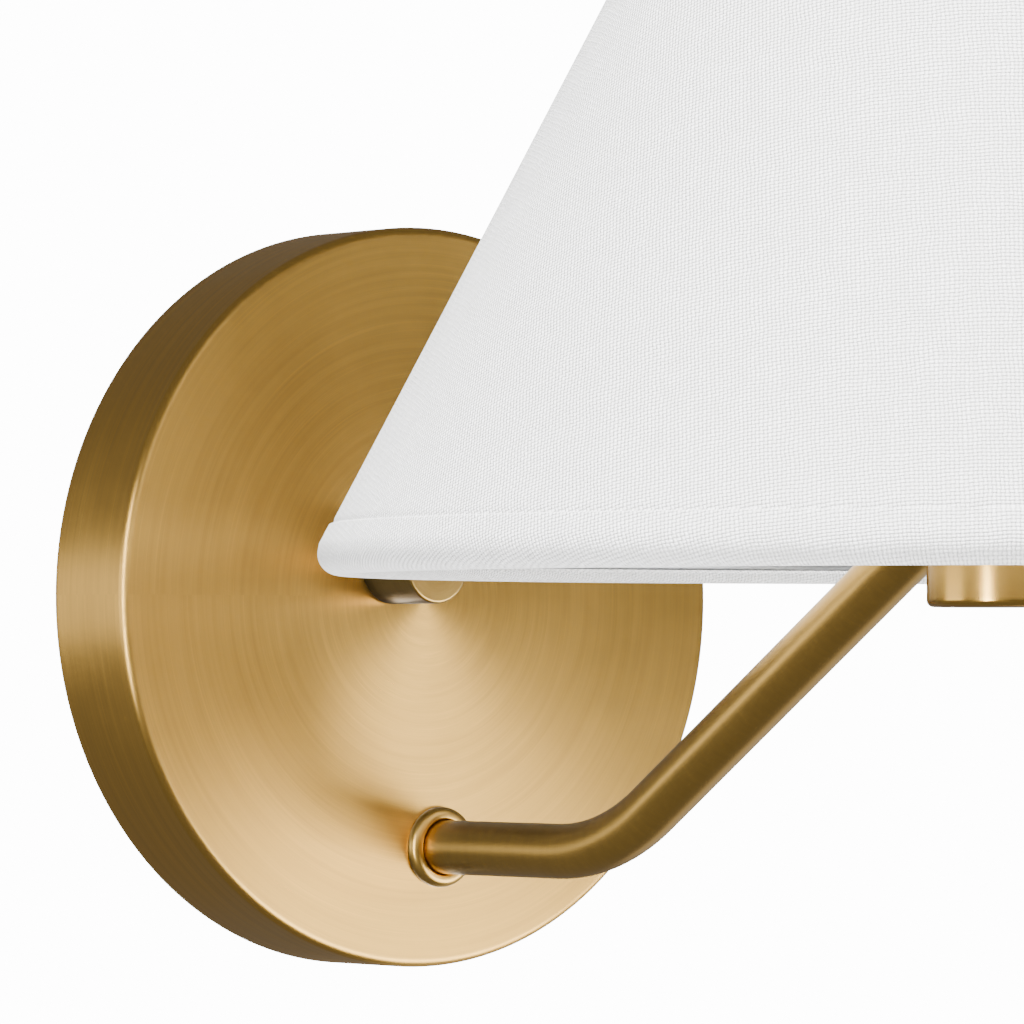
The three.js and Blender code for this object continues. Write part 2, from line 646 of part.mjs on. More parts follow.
// A round glass blown out from a short neck; the neck is open where it stands in the base.
function bulbGlass() {
  const bottom = bulbBaseTop + SEAT_GAP;
  const neck = BULB_BASE_RADIUS;
  const centre = bottom + BULB_GLASS_LENGTH - BULB_GLASS_RADIUS;
  const wall = (radius, neckRadius) => [
    [neckRadius, bottom],
    [neckRadius + 0.2, bottom + 3],
    ...arc(0, centre, radius, -52, 90, 6),
  ];
  const outside = wall(BULB_GLASS_RADIUS, neck);
  const inside = wall(BULB_GLASS_RADIUS - BULB_GLASS_WALL, neck - BULB_GLASS_WALL).reverse();
  outside[outside.length - 1][0] = 0;
  inside[0][0] = 0;
  return turnedUp([...inside, ...outside], 32);
}

function ringNut() {
  const inner = SOCKET_SLEEVE_RADIUS + SLIP_GAP;
  const outer = SOCKET_SLEEVE_RADIUS + RING_NUT_WALL;
  const top = ringNutBottom + RING_NUT_HEIGHT;
  return turnedUp([
    [inner, ringNutBottom], [outer, ringNutBottom], [outer, top - 1], [outer - 1, top], [inner, top],
  ], 30);
}

// ---------------------------------------------------------------- shade
// A section is worked out in [radius, height]. The outer face is a straight slant; `inset` is
// measured square to it, and the wires' centres lie one roll radius inside it.
const slantOut = [Math.cos(shadeTilt), Math.sin(shadeTilt)];
const slantUp = [-Math.sin(shadeTilt), Math.cos(shadeTilt)];

function slantPoint(height, inset) {
  const radius = SHADE_BOTTOM_RADIUS - shadeSlope * (height - SHADE_BOTTOM_Z);
  return [radius - slantOut[0] * inset, height - slantOut[1] * inset];
}

function wireCentre(height) {
  const radius = SHADE_BOTTOM_RADIUS - shadeSlope * (height - SHADE_BOTTOM_Z) - rollRadius / slantOut[0];
  return [radius, height];
}

const bottomWire = wireCentre(SHADE_BOTTOM_Z + rollRadius);
const topWire = wireCentre(SHADE_BOTTOM_Z + SHADE_HEIGHT - rollRadius);

// The fabric: up the slant, rolled over the top wire, and rolled under the bottom wire.
function shadeCover() {
  const tilt = THREE.MathUtils.radToDeg(shadeTilt);
  const innerRoll = rollRadius - SHADE_FABRIC;
  const bottomRoll = (radius, from, to) => arc(...bottomWire, radius, from, to, 3);
  const topRoll = (radius, from, to) => arc(...topWire, radius, from, to, 3);
  return turnedUp([
    ...bottomRoll(rollRadius, -180 + tilt, tilt),
    ...topRoll(rollRadius, tilt, 165),
    ...topRoll(innerRoll, 165, tilt),
    ...bottomRoll(innerRoll, tilt, -180 + tilt),
  ], SHADE_SIDES);
}

function alongSlant([radius, height], up, out) {
  return [
    radius + slantUp[0] * up + slantOut[0] * out,
    height + slantUp[1] * up + slantOut[1] * out,
  ];
}

function shadeLiner() {
  const outer = rollRadius - SHADE_FABRIC - SHADE_LINER_GAP;
  const inner = outer - SHADE_LINER;
  const clear = SHADE_WIRE_RADIUS + LINER_SHORT;
  return turnedUp([
    alongSlant(bottomWire, clear, inner),
    alongSlant(bottomWire, clear, outer),
    alongSlant(topWire, -clear, outer),
    alongSlant(topWire, -clear, inner),
  ], SHADE_SIDES);
}

function shadeWire([radius, height]) {
  return turnedUp(arc(radius, height, SHADE_WIRE_RADIUS, 0, 300, 5), SHADE_SIDES);
}

function fitterRing() {
  const outside = fitterInside + FITTER_WIDTH;
  return turnedUp(ring(fitterInside, outside, fitterBottom, fitterBottom + FITTER_THICK), 40);
}

// A rod from the fitter ring up to the top wire, drawn in the plane of +X.
function fitterArm() {
  const footRadius = fitterInside + FITTER_WIDTH - FITTER_ARM_RADIUS - 0.4;
  const footHeight = fitterBottom + FITTER_THICK;
  const lean = Math.atan2(topWire[0] - footRadius, topWire[1] - footHeight);
  const foot = new THREE.Vector3(footRadius, 0, footHeight + SEAT_GAP + FITTER_ARM_RADIUS * Math.sin(lean));
  const top = new THREE.Vector3(topWire[0], 0, topWire[1]);
  const along = top.clone().sub(foot).normalize();
  const head = top.sub(along.multiplyScalar(SHADE_WIRE_RADIUS + SEAT_GAP));
  return swept(circleShape(FITTER_ARM_RADIUS, 12), new THREE.LineCurve3(foot, head), 1);
}

// ---------------------------------------------------------------- materials
function finish(color, roughness, metalness) {
  return new THREE.MeshStandardMaterial({ color, roughness, metalness });
}

const brass = () => finish(0xc9a468, 0.32, 1);
const rawBrass = () => finish(0xb8934f, 0.4, 1);
const steel = () => finish(0xa9abad, 0.45, 1);
const phenolic = () => finish(0x2a2826, 0.5, 0);
const porcelain = () => finish(0xece8df, 0.25, 0);
const linen = () => finish(0xebe8e1, 0.9, 0);
const linerPaper = () => finish(0xf2f1ee, 0.8, 0);
const frosted = () => finish(0xf4f3ef, 0.5, 0);
const insulation = (color) => finish(color, 0.5, 0);

// ---------------------------------------------------------------- assembly
const group = new THREE.Group();

function groupAt(x, y, z, parent = group) {
  const child = new THREE.Group();
  child.position.set(x, y, z);
  parent.add(child);
  return child;
}

function add(parent, name, geometry, material, place = [0, 0, 0], turn = [0, 0, 0]) {
  const mesh = new THREE.Mesh(geometry, material);
  mesh.name = name;
  mesh.position.set(...place);
  mesh.rotation.set(...turn);
  parent.add(mesh);
}

const plate = groupAt(0, 0, 0);
const control = groupAt(KNOB_X, 0, KNOB_Z, plate);
const arm = groupAt(ARM_X, 0, ARM_Z, plate);
const head = groupAt(ARM_X, -CUP_AXIS, 0);

add(plate, 'back_plate', backPlate(), brass());
add(plate, 'mounting_strap', mountingStrap(), steel());
for (const [side, name] of [[-1, 'left'], [1, 'right']]) {
  const screw = strapScrew(BOX_SCREW_RADIUS, BOX_SCREW_HEAD_RADIUS, BOX_SCREW_HEAD);
  add(plate, `box_screw_${name}`, screw, steel(), [(side * BOX_SCREW_SPACING) / 2, 0, 0]);
}
add(
  plate, 'ground_screw', strapScrew(GROUND_SCREW_RADIUS, GROUND_SCREW_HEAD_RADIUS, GROUND_SCREW_HEAD),
  finish(0x3f7a4a, 0.4, 0.6), [GROUND_SCREW_X, 0, 0],
);
for (const [turn, name] of [[0, 'top'], [Math.PI, 'bottom']]) {
  const inner = PLATE_RADIUS - 0.3 - RIM_SCREW_LENGTH;
  const screw = grubScrew(RIM_SCREW_RADIUS, RIM_SCREW_LENGTH).translate(0, 0, inner);
  add(plate, `rim_screw_${name}`, screw, brass(), [0, -RIM_SCREW_DEPTH, 0], [0, turn, 0]);
}

add(control, 'switch_housing', switchHousing(), phenolic());
add(
  control, 'switch_nut',
  hexOut(SWITCH_NUT_FLATS, SWITCH_BUSH_RADIUS + SEAT_GAP, PLATE_DEPTH + SEAT_GAP, switchNutFront),
  steel(),
);
add(control, 'switch_shaft', switchShaft(), rawBrass());
add(control, 'control_knob', controlKnob(), brass());
add(
  control, 'knob_screw',
  grubScrew(KNOB_SCREW_RADIUS, KNOB_RADIUS - SHAFT_RADIUS - SEAT_GAP - 0.6), steel(),
  [0, -knobScrewOut, SHAFT_RADIUS + SEAT_GAP],
);
for (const [side, name] of [[-1, 'left'], [1, 'right']]) {
  add(control, `switch_lead_${name}`, switchLead(side), insulation(0x1c1c1c));
  add(
    control, `switch_splice_${name}`, spliceCap(), finish(0xd98b2b, 0.5, 0),
    [side * SWITCH_CAP_SPREAD, -switchLeadOut, SWITCH_CAP_Z],
  );
}

add(arm, 'arm_collar', armCollar(), brass());
add(
  arm, 'collar_washer',
  turnedOut(ring(collarSleeve + SLIP_GAP, COLLAR_WASHER_RADIUS, washerFront - COLLAR_WASHER, washerFront), 36),
  steel(),
);
add(
  arm, 'collar_nut',
  hexOut(COLLAR_NUT_FLATS, collarSleeve + SEAT_GAP, collarNutFront - COLLAR_NUT_THICK, collarNutFront),
  steel(),
);
add(arm, 'arm_stop_ring', stopRing(), rawBrass());
add(arm, 'arm_tube', armTube(), brass());
for (const [side, name, color] of [[-1, 'left', 0x1c1c1c], [1, 'right', 0xe9e9e9]]) {
  add(arm, `arm_lead_${name}`, armLead(side), insulation(color));
  add(
    arm, `arm_splice_${name}`, spliceCap(), finish(0xd98b2b, 0.5, 0),
    [side * ARM_CAP_SPREAD, -armCapOut, ARM_CAP_Z],
  );
}

add(head, 'socket_cup', socketCup(), brass());
add(head, 'cup_screw', cupScrew(), steel());
add(head, 'socket_post', socketPost(), steel());
add(head, 'socket_body', socketBody(), porcelain());
add(head, 'screw_shell', screwShell(), rawBrass());
add(head, 'centre_contact', centreContact(), rawBrass());
add(head, 'bulb_base', bulbBase(), steel());
add(head, 'bulb_glass', bulbGlass(), frosted());
add(head, 'shade_ring_nut', ringNut(), phenolic());

add(head, 'shade_cover', shadeCover(), linen());
add(head, 'shade_liner', shadeLiner(), linerPaper());
add(head, 'shade_top_wire', shadeWire(topWire), steel());
add(head, 'shade_bottom_wire', shadeWire(bottomWire), steel());
add(head, 'fitter_ring', fitterRing(), steel());
for (let i = 0; i < FITTER_ARMS; i += 1) {
  const turn = Math.PI / 2 + (2 * Math.PI * i) / FITTER_ARMS;
  add(head, `fitter_arm_${i + 1}`, fitterArm(), steel(), [0, 0, 0], [0, 0, turn]);
}

export default group;
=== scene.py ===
import math

import bmesh
import bpy
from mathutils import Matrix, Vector, noise


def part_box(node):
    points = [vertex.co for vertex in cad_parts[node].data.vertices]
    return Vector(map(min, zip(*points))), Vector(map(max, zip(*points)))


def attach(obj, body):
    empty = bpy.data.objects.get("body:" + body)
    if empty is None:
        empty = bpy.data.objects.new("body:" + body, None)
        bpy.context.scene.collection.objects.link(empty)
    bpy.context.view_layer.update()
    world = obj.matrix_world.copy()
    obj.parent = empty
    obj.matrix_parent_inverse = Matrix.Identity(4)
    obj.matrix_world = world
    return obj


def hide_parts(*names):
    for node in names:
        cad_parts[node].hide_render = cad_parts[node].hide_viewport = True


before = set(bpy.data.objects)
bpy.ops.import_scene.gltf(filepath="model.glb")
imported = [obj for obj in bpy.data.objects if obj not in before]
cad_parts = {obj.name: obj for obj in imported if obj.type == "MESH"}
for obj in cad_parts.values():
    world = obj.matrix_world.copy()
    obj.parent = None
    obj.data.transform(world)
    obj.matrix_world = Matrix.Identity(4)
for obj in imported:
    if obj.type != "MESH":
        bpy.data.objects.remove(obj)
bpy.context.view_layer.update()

MM = 0.001


# ------------------------------------------------------------------ sizes, read from the frame's pieces or given
def span(node, axis):
    low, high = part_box(node)
    return low[axis], high[axis]


def middle(node, axis):
    low, high = span(node, axis)
    return (low + high) / 2


def half(node, axis):
    low, high = span(node, axis)
    return (high - low) / 2


X, Y, Z = 0, 1, 2
PLATE_RADIUS = half("back_plate", X)
PLATE_FRONT = span("back_plate", Y)[0]
PLATE_WALL = 1.5 * MM
PLATE_FILLET = 1.4 * MM
KNOB_AXIS = Vector((middle("control_knob", X), 0, middle("control_knob", Z)))
KNOB_RADIUS = half("control_knob", X)
KNOB_FACE, KNOB_BACK = span("control_knob", Y)
ARM_AXIS = Vector((middle("arm_collar", X), 0, middle("arm_collar", Z)))
COLLAR_RADIUS = half("arm_collar", X)
COLLAR_FACE, COLLAR_BACK = span("arm_collar", Y)
COLLAR_BEAD = 2.2 * MM
COLLAR_SLEEVE = 6.1 * MM
TUBE_RADIUS = half("arm_tube", X)
TUBE_TAIL = span("arm_tube", Y)[1]
TUBE_WALL = 1 * MM
TUBE_RISE = math.radians(33.6)
TUBE_BEND = 45 * MM
CUP_Y = middle("socket_cup", Y)
CUP_RADIUS = half("socket_cup", X)
CUP_BOTTOM, CUP_TOP = span("socket_cup", Z)
CUP_WALL = 1 * MM
CUP_EDGE = 1.1 * MM
TUBE_MEETS_CUP = CUP_BOTTOM + 24.2 * MM
TUBE_TIP_FROM_CUP_AXIS = 8.3 * MM
HEAD_AXIS = Vector((ARM_AXIS.x, CUP_Y, 0))
WIRE_RADIUS = 2 * MM
FABRIC = 1 * MM
SHADE_LOW = span("shade_cover", Z)[0]
BOTTOM_WIRE = (half("shade_bottom_wire", X) - WIRE_RADIUS, middle("shade_bottom_wire", Z))
TOP_WIRE = (half("shade_top_wire", X) - WIRE_RADIUS, middle("shade_top_wire", Z))
SHADE_ROLL = BOTTOM_WIRE[1] - SHADE_LOW
SHADE_SLOPE = (BOTTOM_WIRE[0] - TOP_WIRE[0]) / (TOP_WIRE[1] - BOTTOM_WIRE[1])
SHADE_TILT = math.atan(SHADE_SLOPE)
HEM_HEIGHT = 7.1 * MM
HEM_PROUD = 0.3 * MM
SEAM_TURN = 50  # degrees from the right-hand side towards the wall
SEAM_HALF = 5 * MM
SEAM_PROUD = 0.3 * MM
FITTER_HOLE = 12.3 * MM
SWITCH_HOLE = 3.9 * MM
BORE_SLACK = 0.3 * MM
TUBE_LIP = 0.15 * MM
TUBE_SIDES = 64
CREASE = 40  # degrees; a sharper fold in a mesh stays crisp
EASED_CREASE = 38
ROUND_CREASE = 65

# the studio: metres, watts and millimetres of lens
FLOOR_HEIGHT = -0.45
FLOOR_REACH = 1.6
CAMERA_PLACE = (-0.6931, -0.9070, -0.0124)
CAMERA_LINE = (0.6263, 0.7792, 0.0243)
CAMERA_LENS = 224.1
CAMERA_SENSOR = 36
BACKDROP_GLOW = 14.0
ROOM_GLOW = 0.2


# ------------------------------------------------------------------ mesh making
def arc(centre, radius, start, end, steps):
    """Points on an arc in a profile; the angles are in degrees."""
    points = []
    for i in range(steps + 1):
        angle = math.radians(start + (end - start) * i / steps)
        points.append((centre[0] + radius * math.cos(angle), centre[1] + radius * math.sin(angle)))
    return points


def eased(points, radius, steps=4):
    """A closed profile with each of its corners rounded; a point may carry its own radius."""
    out = []
    count = len(points)
    for i, point in enumerate(points):
        here = Vector(point[:2])
        wanted = point[2] if len(point) > 2 else radius
        before = Vector(points[i - 1][:2]) - here
        after = Vector(points[(i + 1) % count][:2]) - here
        room = min(wanted, before.length * 0.45, after.length * 0.45)
        if room < 1e-6 or here.x < 1e-6:
            out.append(tuple(here))
            continue
        a = here + before.normalized() * room
        b = here + after.normalized() * room
        for k in range(steps + 1):
            t = k / steps
            out.append(tuple(a * (1 - t) ** 2 + here * 2 * t * (1 - t) + b * t * t))
    return out


def smooth_faces(obj, crease=CREASE):
    """Smooth faces with true creases and flat faces that stay flat."""
    obj.data.shade_smooth()
    obj.data.set_sharp_from_angle(angle=math.radians(crease))
    weighted = obj.modifiers.new("even_normals", "WEIGHTED_NORMAL")
    weighted.keep_sharp = True


def skin(name, rings, closed_rows=False, uv=None):
    """A mesh through rings of points, each closed on itself. A ring that shrinks to a point closes it."""
    bm = bmesh.new()
    layer = bm.loops.layers.uv.new("cut") if uv else None
    rows = []
    for points in rings:
        if max((p - points[0]).length for p in points) < 1e-7:
            rows.append([bm.verts.new(points[0])] * len(points))
        else:
            rows.append([bm.verts.new(p) for p in points])
    count = len(rows[0])
    last = len(rows) if closed_rows else len(rows) - 1
    for i in range(last):
        low, high = rows[i], rows[(i + 1) % len(rows)]
        for j in range(count):
            k = (j + 1) % count
            corners = [(low[j], i, j), (low[k], i, j + 1), (high[k], i + 1, j + 1), (high[j], i + 1, j)]
            distinct = []
            for corner in corners:
                if corner[0] not in [d[0] for d in distinct]:
                    distinct.append(corner)
            if len(distinct) < 3:
                continue
            face = bm.faces.new([d[0] for d in distinct])
            if layer:
                for loop, corner in zip(face.loops, distinct):
                    loop[layer].uv = uv(corner[1], corner[2])
    bmesh.ops.recalc_face_normals(bm, faces=bm.faces)
    if bm.calc_volume(signed=True) < 0:
        bmesh.ops.reverse_faces(bm, faces=bm.faces)
    mesh = bpy.data.meshes.new(name)
    bm.to_mesh(mesh)
    bm.free()
    obj = bpy.data.objects.new(name, mesh)
    bpy.context.scene.collection.objects.link(obj)
    smooth_faces(obj)
    return obj


def turned_out(name, profile, axis, sides, closed=True):
    """Turned about a line square to the wall; the profile is (radius, y)."""
    turns = [2 * math.pi * j / sides for j in range(sides)]
    rings = [
        [Vector((axis.x + radius * math.cos(a), depth, axis.z + radius * math.sin(a))) for a in turns]
        for radius, depth in profile
    ]
    return skin(name, rings, closed)


def turned_up(name, profile, sides, closed=True, wave=None, uv=None):
    """Turned about the head's upright line; the profile is (radius, z)."""
    rings = []
    for radius, height in profile:
        ring = []
        for j in range(sides):
            angle = 2 * math.pi * j / sides
            r = radius + (wave(angle, radius, height) if wave else 0)
            place = (HEAD_AXIS.x + r * math.cos(angle), HEAD_AXIS.y + r * math.sin(angle), height)
            ring.append(Vector(place))
        rings.append(ring)
    return skin(name, rings, closed, uv)


def circle(centre, side, up, radius, sides):
    """Points round a centre, in the plane of two square directions."""
    turns = [2 * math.pi * j / sides for j in range(sides)]
    return [centre + side * (radius * math.cos(a)) + up * (radius * math.sin(a)) for a in turns]


def along_path(name, stations, section, uv=None):
    """A closed tube wall: `section` is the (outer, inner) radii; stations are (point, direction)."""
    outer, inner = section

    def ring_at(station, radius):
        point, direction = station
        side = Vector((1, 0, 0))
        return circle(point, side, direction.cross(side).normalized(), radius, TUBE_SIDES)

    first, last = stations[0], stations[-1]
    between = stations[1:-1]
    rings = [ring_at(first, inner + TUBE_LIP), ring_at(first, outer - TUBE_LIP)]
    rings += [ring_at(station, outer) for station in between]
    rings += [ring_at(last, outer - TUBE_LIP), ring_at(last, inner + TUBE_LIP)]
    rings += [ring_at(station, inner) for station in reversed(between)]
    return skin(name, rings, True, uv)


def rod(name, start, end, radius, sides=24):
    """A straight rod with rounded ends."""
    direction = (end - start).normalized()
    side = direction.orthogonal().normalized()
    up = direction.cross(side)
    ease = radius * 0.35
    levels = [(start, 0.0), (start, radius - ease), (start + direction * ease, radius),
              (end - direction * ease, radius), (end, radius - ease), (end, 0.0)]
    return skin(name, [circle(point, side, up, r, sides) for point, r in levels])


def eased_copy(node, name, bevel, crease):
    """A frame piece made finer: flat faces joined up, edges eased and rounds shaded smooth."""
    mesh = bpy.data.objects[node].data.copy()
    bm = bmesh.new()
    bm.from_mesh(mesh)
    bmesh.ops.remove_doubles(bm, verts=bm.verts, dist=0.5e-6)
    bmesh.ops.dissolve_limit(
        bm, angle_limit=math.radians(1), verts=bm.verts, edges=bm.edges, use_dissolve_boundaries=False
    )
    bm.to_mesh(mesh)
    bm.free()
    mesh.materials.clear()
    mesh.name = name
    obj = bpy.data.objects.new(name, mesh)
    if bevel:
        edge = obj.modifiers.new("eased_edges", "BEVEL")
        edge.width = bevel
        edge.segments = 2
        edge.limit_method = "ANGLE"
        edge.angle_limit = math.radians(crease)
        edge.use_clamp_overlap = True
    bpy.context.scene.collection.objects.link(obj)
    smooth_faces(obj, crease)
    return obj


# ------------------------------------------------------------------ shader building blocks
class Graph:
    """Adds nodes to a material or group and joins them by name."""

    def __init__(self, tree):
        self.tree = tree

    def add(self, kind, **settings):
        made = self.tree.nodes.new(kind)
        for key, value in settings.items():
            setattr(made, key, value)
        return made

    def join(self, source, target):
        self.tree.links.new(source, target)

    def feed(self, socket, value):
        if isinstance(value, bpy.types.NodeSocket):
            self.join(value, socket)
        elif value is not None:
            socket.default_value = value

    def math(self, operation, a, b=None, c=None, clamp=False):
        made = self.add("ShaderNodeMath", operation=operation, use_clamp=clamp)
        for socket, value in zip(made.inputs, (a, b, c)):
            self.feed(socket, value)
        return made.outputs[0]

    def combine(self, x, y, z):
        made = self.add("ShaderNodeCombineXYZ")
        for socket, value in zip(made.inputs, (x, y, z)):
            self.feed(socket, value)
        return made.outputs[0]

    def noise(self, vector, scale, detail=3.0, rough=0.5):
        made = self.add("ShaderNodeTexNoise")
        self.feed(made.inputs["Vector"], vector)
        made.inputs["Scale"].default_value = scale
        made.inputs["Detail"].default_value = detail
        made.inputs["Roughness"].default_value = rough
        return made.outputs["Fac"]

    def spread(self, value, low, high, to_low=0.0, to_high=1.0):
        made = self.add("ShaderNodeMapRange", clamp=True)
        for socket, given in zip(made.inputs, (value, low, high, to_low, to_high)):
            self.feed(socket, given)
        return made.outputs[0]

    def blend(self, share, a, b):
        made = self.add("ShaderNodeMix", data_type="RGBA")
        self.feed(made.inputs[0], share)
        self.feed(made.inputs[6], a)
        self.feed(made.inputs[7], b)
        return made.outputs[2]

    def use(self, group, **inputs):
        made = self.add("ShaderNodeGroup", node_tree=group)
        for key, value in inputs.items():
            self.feed(made.inputs[key.replace("_", " ")], value)
        return made.outputs

    def bump(self, height, strength, distance):
        made = self.add("ShaderNodeBump")
        made.inputs["Strength"].default_value = strength
        made.inputs["Distance"].default_value = distance
        self.join(height, made.inputs["Height"])
        return made.outputs[0]


def effect(name, inputs, outputs):
    """An empty node group with named sockets, and its graph, input and output nodes."""
    tree = bpy.data.node_groups.new(name, "ShaderNodeTree")
    kinds = {"value": "NodeSocketFloat", "vector": "NodeSocketVector"}
    for label, (kind, default) in inputs.items():
        socket = tree.interface.new_socket(name=label, in_out="INPUT", socket_type=kinds[kind])
        if default is not None:
            socket.default_value = default
    for label, kind in outputs.items():
        tree.interface.new_socket(name=label, in_out="OUTPUT", socket_type=kinds[kind])
    graph = Graph(tree)
    return tree, graph, graph.add("NodeGroupInput").outputs, graph.add("NodeGroupOutput").inputs


def make_brushing():
    """Fine parallel scratches: close together across the grain, long drawn along it."""
    tree, g, given, out = effect(
        "brushing",
        {"Across mm": ("value", 0.0), "Along": ("value", 0.0), "Lines per mm": ("value", 4.0),
         "Break up": ("value", 1.5)},
        {"Scratches": "value", "Bands": "value"},
    )
    across = g.math("MULTIPLY", given["Across mm"], given["Lines per mm"])
    along = g.math("MULTIPLY", given["Along"], given["Break up"])
    fine = g.noise(g.combine(across, along, 3.1), 1.0, 4.0, 0.65)
    deep = g.noise(g.combine(g.math("MULTIPLY", across, 0.37), along, 8.7), 1.0, 2.0, 0.5)
    deep = g.spread(deep, 0.56, 0.72)
    g.join(g.math("MULTIPLY_ADD", deep, 0.35, fine), out["Scratches"])
    wide = g.math("MULTIPLY", across, 0.12)
    drawn = g.math("MULTIPLY", along, 0.6)
    g.join(g.noise(g.combine(wide, drawn, 5.5), 1.0, 2.0), out["Bands"])
    return tree


def make_handling():
    """Soft cloudy marks from wiping and touching, with a few fine specks."""
    tree, g, given, out = effect(
        "handling", {"Place": ("vector", None)}, {"Smudge": "value", "Specks": "value"}
    )
    cloud = g.noise(given["Place"], 38.0, 3.0, 0.6)
    streaky = g.noise(given["Place"], 140.0, 2.0, 0.5)
    g.join(g.spread(g.math("MULTIPLY_ADD", streaky, 0.3, cloud), 0.45, 0.9), out["Smudge"])
    g.join(g.spread(g.noise(given["Place"], 1400.0, 1.0), 0.74, 0.8), out["Specks"])
    return tree


def make_weave():
    """A plain weave with uneven, slubbed threads. The place on the cloth is in millimetres."""
    tree, g, given, out = effect(
        "weave",
        {"Warp mm": ("value", 0.0), "Weft mm": ("value", 0.0), "Threads per mm": ("value", 2.0)},
        {"Height": "value", "Tone": "value", "Shaded gaps": "value"},
    )
    place = g.combine(given["Warp mm"], given["Weft mm"], 0.0)
    crossed = g.combine(given["Weft mm"], given["Warp mm"], 4.0)
    warp_sway = g.math("MULTIPLY_ADD", g.noise(place, 0.16, 2.0), 0.9, -0.45)
    weft_sway = g.math("MULTIPLY_ADD", g.noise(crossed, 0.16, 2.0), 0.9, -0.45)
    u = g.math("MULTIPLY", g.math("ADD", given["Warp mm"], warp_sway), given["Threads per mm"])
    v = g.math("MULTIPLY", g.math("ADD", given["Weft mm"], weft_sway), given["Threads per mm"])

    def thread(across, along, seed):
        number = g.math("FLOOR", across)
        own = g.math("MULTIPLY", number, 7.31)
        slub = g.noise(g.combine(own, g.math("MULTIPLY", along, 0.11), seed), 1.0, 2.0)
        wave = g.math("ABSOLUTE", g.math("SINE", g.math("MULTIPLY", across, math.pi)))
        fat = g.spread(slub, 0.35, 0.7, 0.55, 1.15)
        return g.math("POWER", wave, g.math("DIVIDE", 0.6, fat)), fat, number

    warp, warp_fat, warp_number = thread(u, v, 1.0)
    weft, weft_fat, weft_number = thread(v, u, 9.0)
    odd = g.math("MODULO", g.math("ABSOLUTE", g.math("ADD", warp_number, weft_number)), 2.0)
    over = g.math("GREATER_THAN", odd, 0.5)
    under = g.math("SUBTRACT", 1.0, over)
    top = g.math("ADD", g.math("MULTIPLY", g.math("MULTIPLY", warp, warp_fat), over),
                 g.math("MULTIPLY", g.math("MULTIPLY", weft, weft_fat), under))
    low = g.math("ADD", g.math("MULTIPLY", warp, under), g.math("MULTIPLY", weft, over))
    g.join(g.math("MULTIPLY_ADD", low, 0.35, top), out["Height"])
    tone = g.math("ADD", g.math("MULTIPLY", warp_fat, over), g.math("MULTIPLY", weft_fat, under))
    g.join(tone, out["Tone"])
    # The gaps between the threads: used below as painted shade between the threads.
    g.join(g.math("SUBTRACT", 1.0, g.math("MAXIMUM", warp, weft), clamp=True), out["Shaded gaps"])
    return tree


def make_moulding():
    """The faint pebble and drift in tone of a moulded, glazed or plated skin."""
    tree, g, given, out = effect(
        "moulding", {"Place": ("vector", None), "Grain size": ("value", 900.0)},
        {"Height": "value", "Drift": "value"},
    )
    scaled = g.add("ShaderNodeVectorMath", operation="SCALE")
    g.join(given["Place"], scaled.inputs[0])
    g.join(given["Grain size"], scaled.inputs["Scale"])
    g.join(g.noise(scaled.outputs[0], 1.0, 3.0), out["Height"])
    g.join(g.noise(given["Place"], 60.0, 2.0), out["Drift"])
    return tree


BRUSHING = make_brushing()
HANDLING = make_handling()
WEAVE = make_weave()
MOULDING = make_moulding()


def material(name):
    """A new material with its graph and its main shader."""
    made = bpy.data.materials.new(name)
    made.use_nodes = True
    shader = next(n for n in made.node_tree.nodes if n.type == "BSDF_PRINCIPLED")
    return made, Graph(made.node_tree), shader


def place_of(g):
    return g.add("ShaderNodeTexCoord").outputs["Object"]


def turned_place(g, centre, upright):
    """Across and along a lathe-turned grain: rings about an axis through `centre`."""
    moved = g.add("ShaderNodeVectorMath", operation="SUBTRACT")
    g.join(place_of(g), moved.inputs[0])
    moved.inputs[1].default_value = centre
    parts = g.add("ShaderNodeSeparateXYZ")
    g.join(moved.outputs[0], parts.inputs[0])
    x, y, z = parts.outputs
    first, second, height = (x, y, z) if upright else (x, z, y)
    squares = g.math("ADD", g.math("MULTIPLY", first, first), g.math("MULTIPLY", second, second))
    radius = g.math("SQRT", squares)
    across = g.math("MULTIPLY", g.math("ADD", radius, height), 1 / MM)
    return across, g.math("ARCTAN2", second, first)


def brass_finish(name, across_along, radial_axis, lines, rough=0.3, anisotropic=0.75, relief=0.04,
                 tones=(0.45, 0.95), deep=(0.45, 0.26, 0.07, 1), bright=(0.77, 0.458, 0.102, 1), wear=1.0):
    """Brushed, lacquered brass: scratches, a drift in tone, wiped patches and specks."""
    made, g, shader = material(name)
    across, along = across_along(g)
    grain = g.use(BRUSHING, Across_mm=across, Along=along, Lines_per_mm=lines, Break_up=1.6)
    marks = g.use(HANDLING, Place=place_of(g))
    tone = g.math("ADD", g.math("MULTIPLY", grain["Scratches"], 0.5), g.math("MULTIPLY", grain["Bands"], 0.5))
    tone = g.spread(tone, 0.3, 0.75, *tones)
    g.join(g.blend(tone, deep, bright), shader.inputs["Base Color"])
    dull = g.math("MULTIPLY_ADD", grain["Scratches"], 0.14 * wear, rough - 0.07 * wear)
    dull = g.math("MULTIPLY_ADD", marks["Smudge"], 0.07 * wear, dull)
    g.join(g.math("MULTIPLY_ADD", marks["Specks"], 0.1 * wear, dull), shader.inputs["Roughness"])
    g.join(g.bump(grain["Scratches"], relief, 0.2 * MM), shader.inputs["Normal"])
    shader.inputs["Metallic"].default_value = 1.0
    shader.inputs["Anisotropic"].default_value = anisotropic
    shader.inputs["Anisotropic Rotation"].default_value = 0.25
    if radial_axis:
        tangent = g.add("ShaderNodeTangent", direction_type="RADIAL", axis=radial_axis)
        g.join(tangent.outputs[0], shader.inputs["Tangent"])
    return made


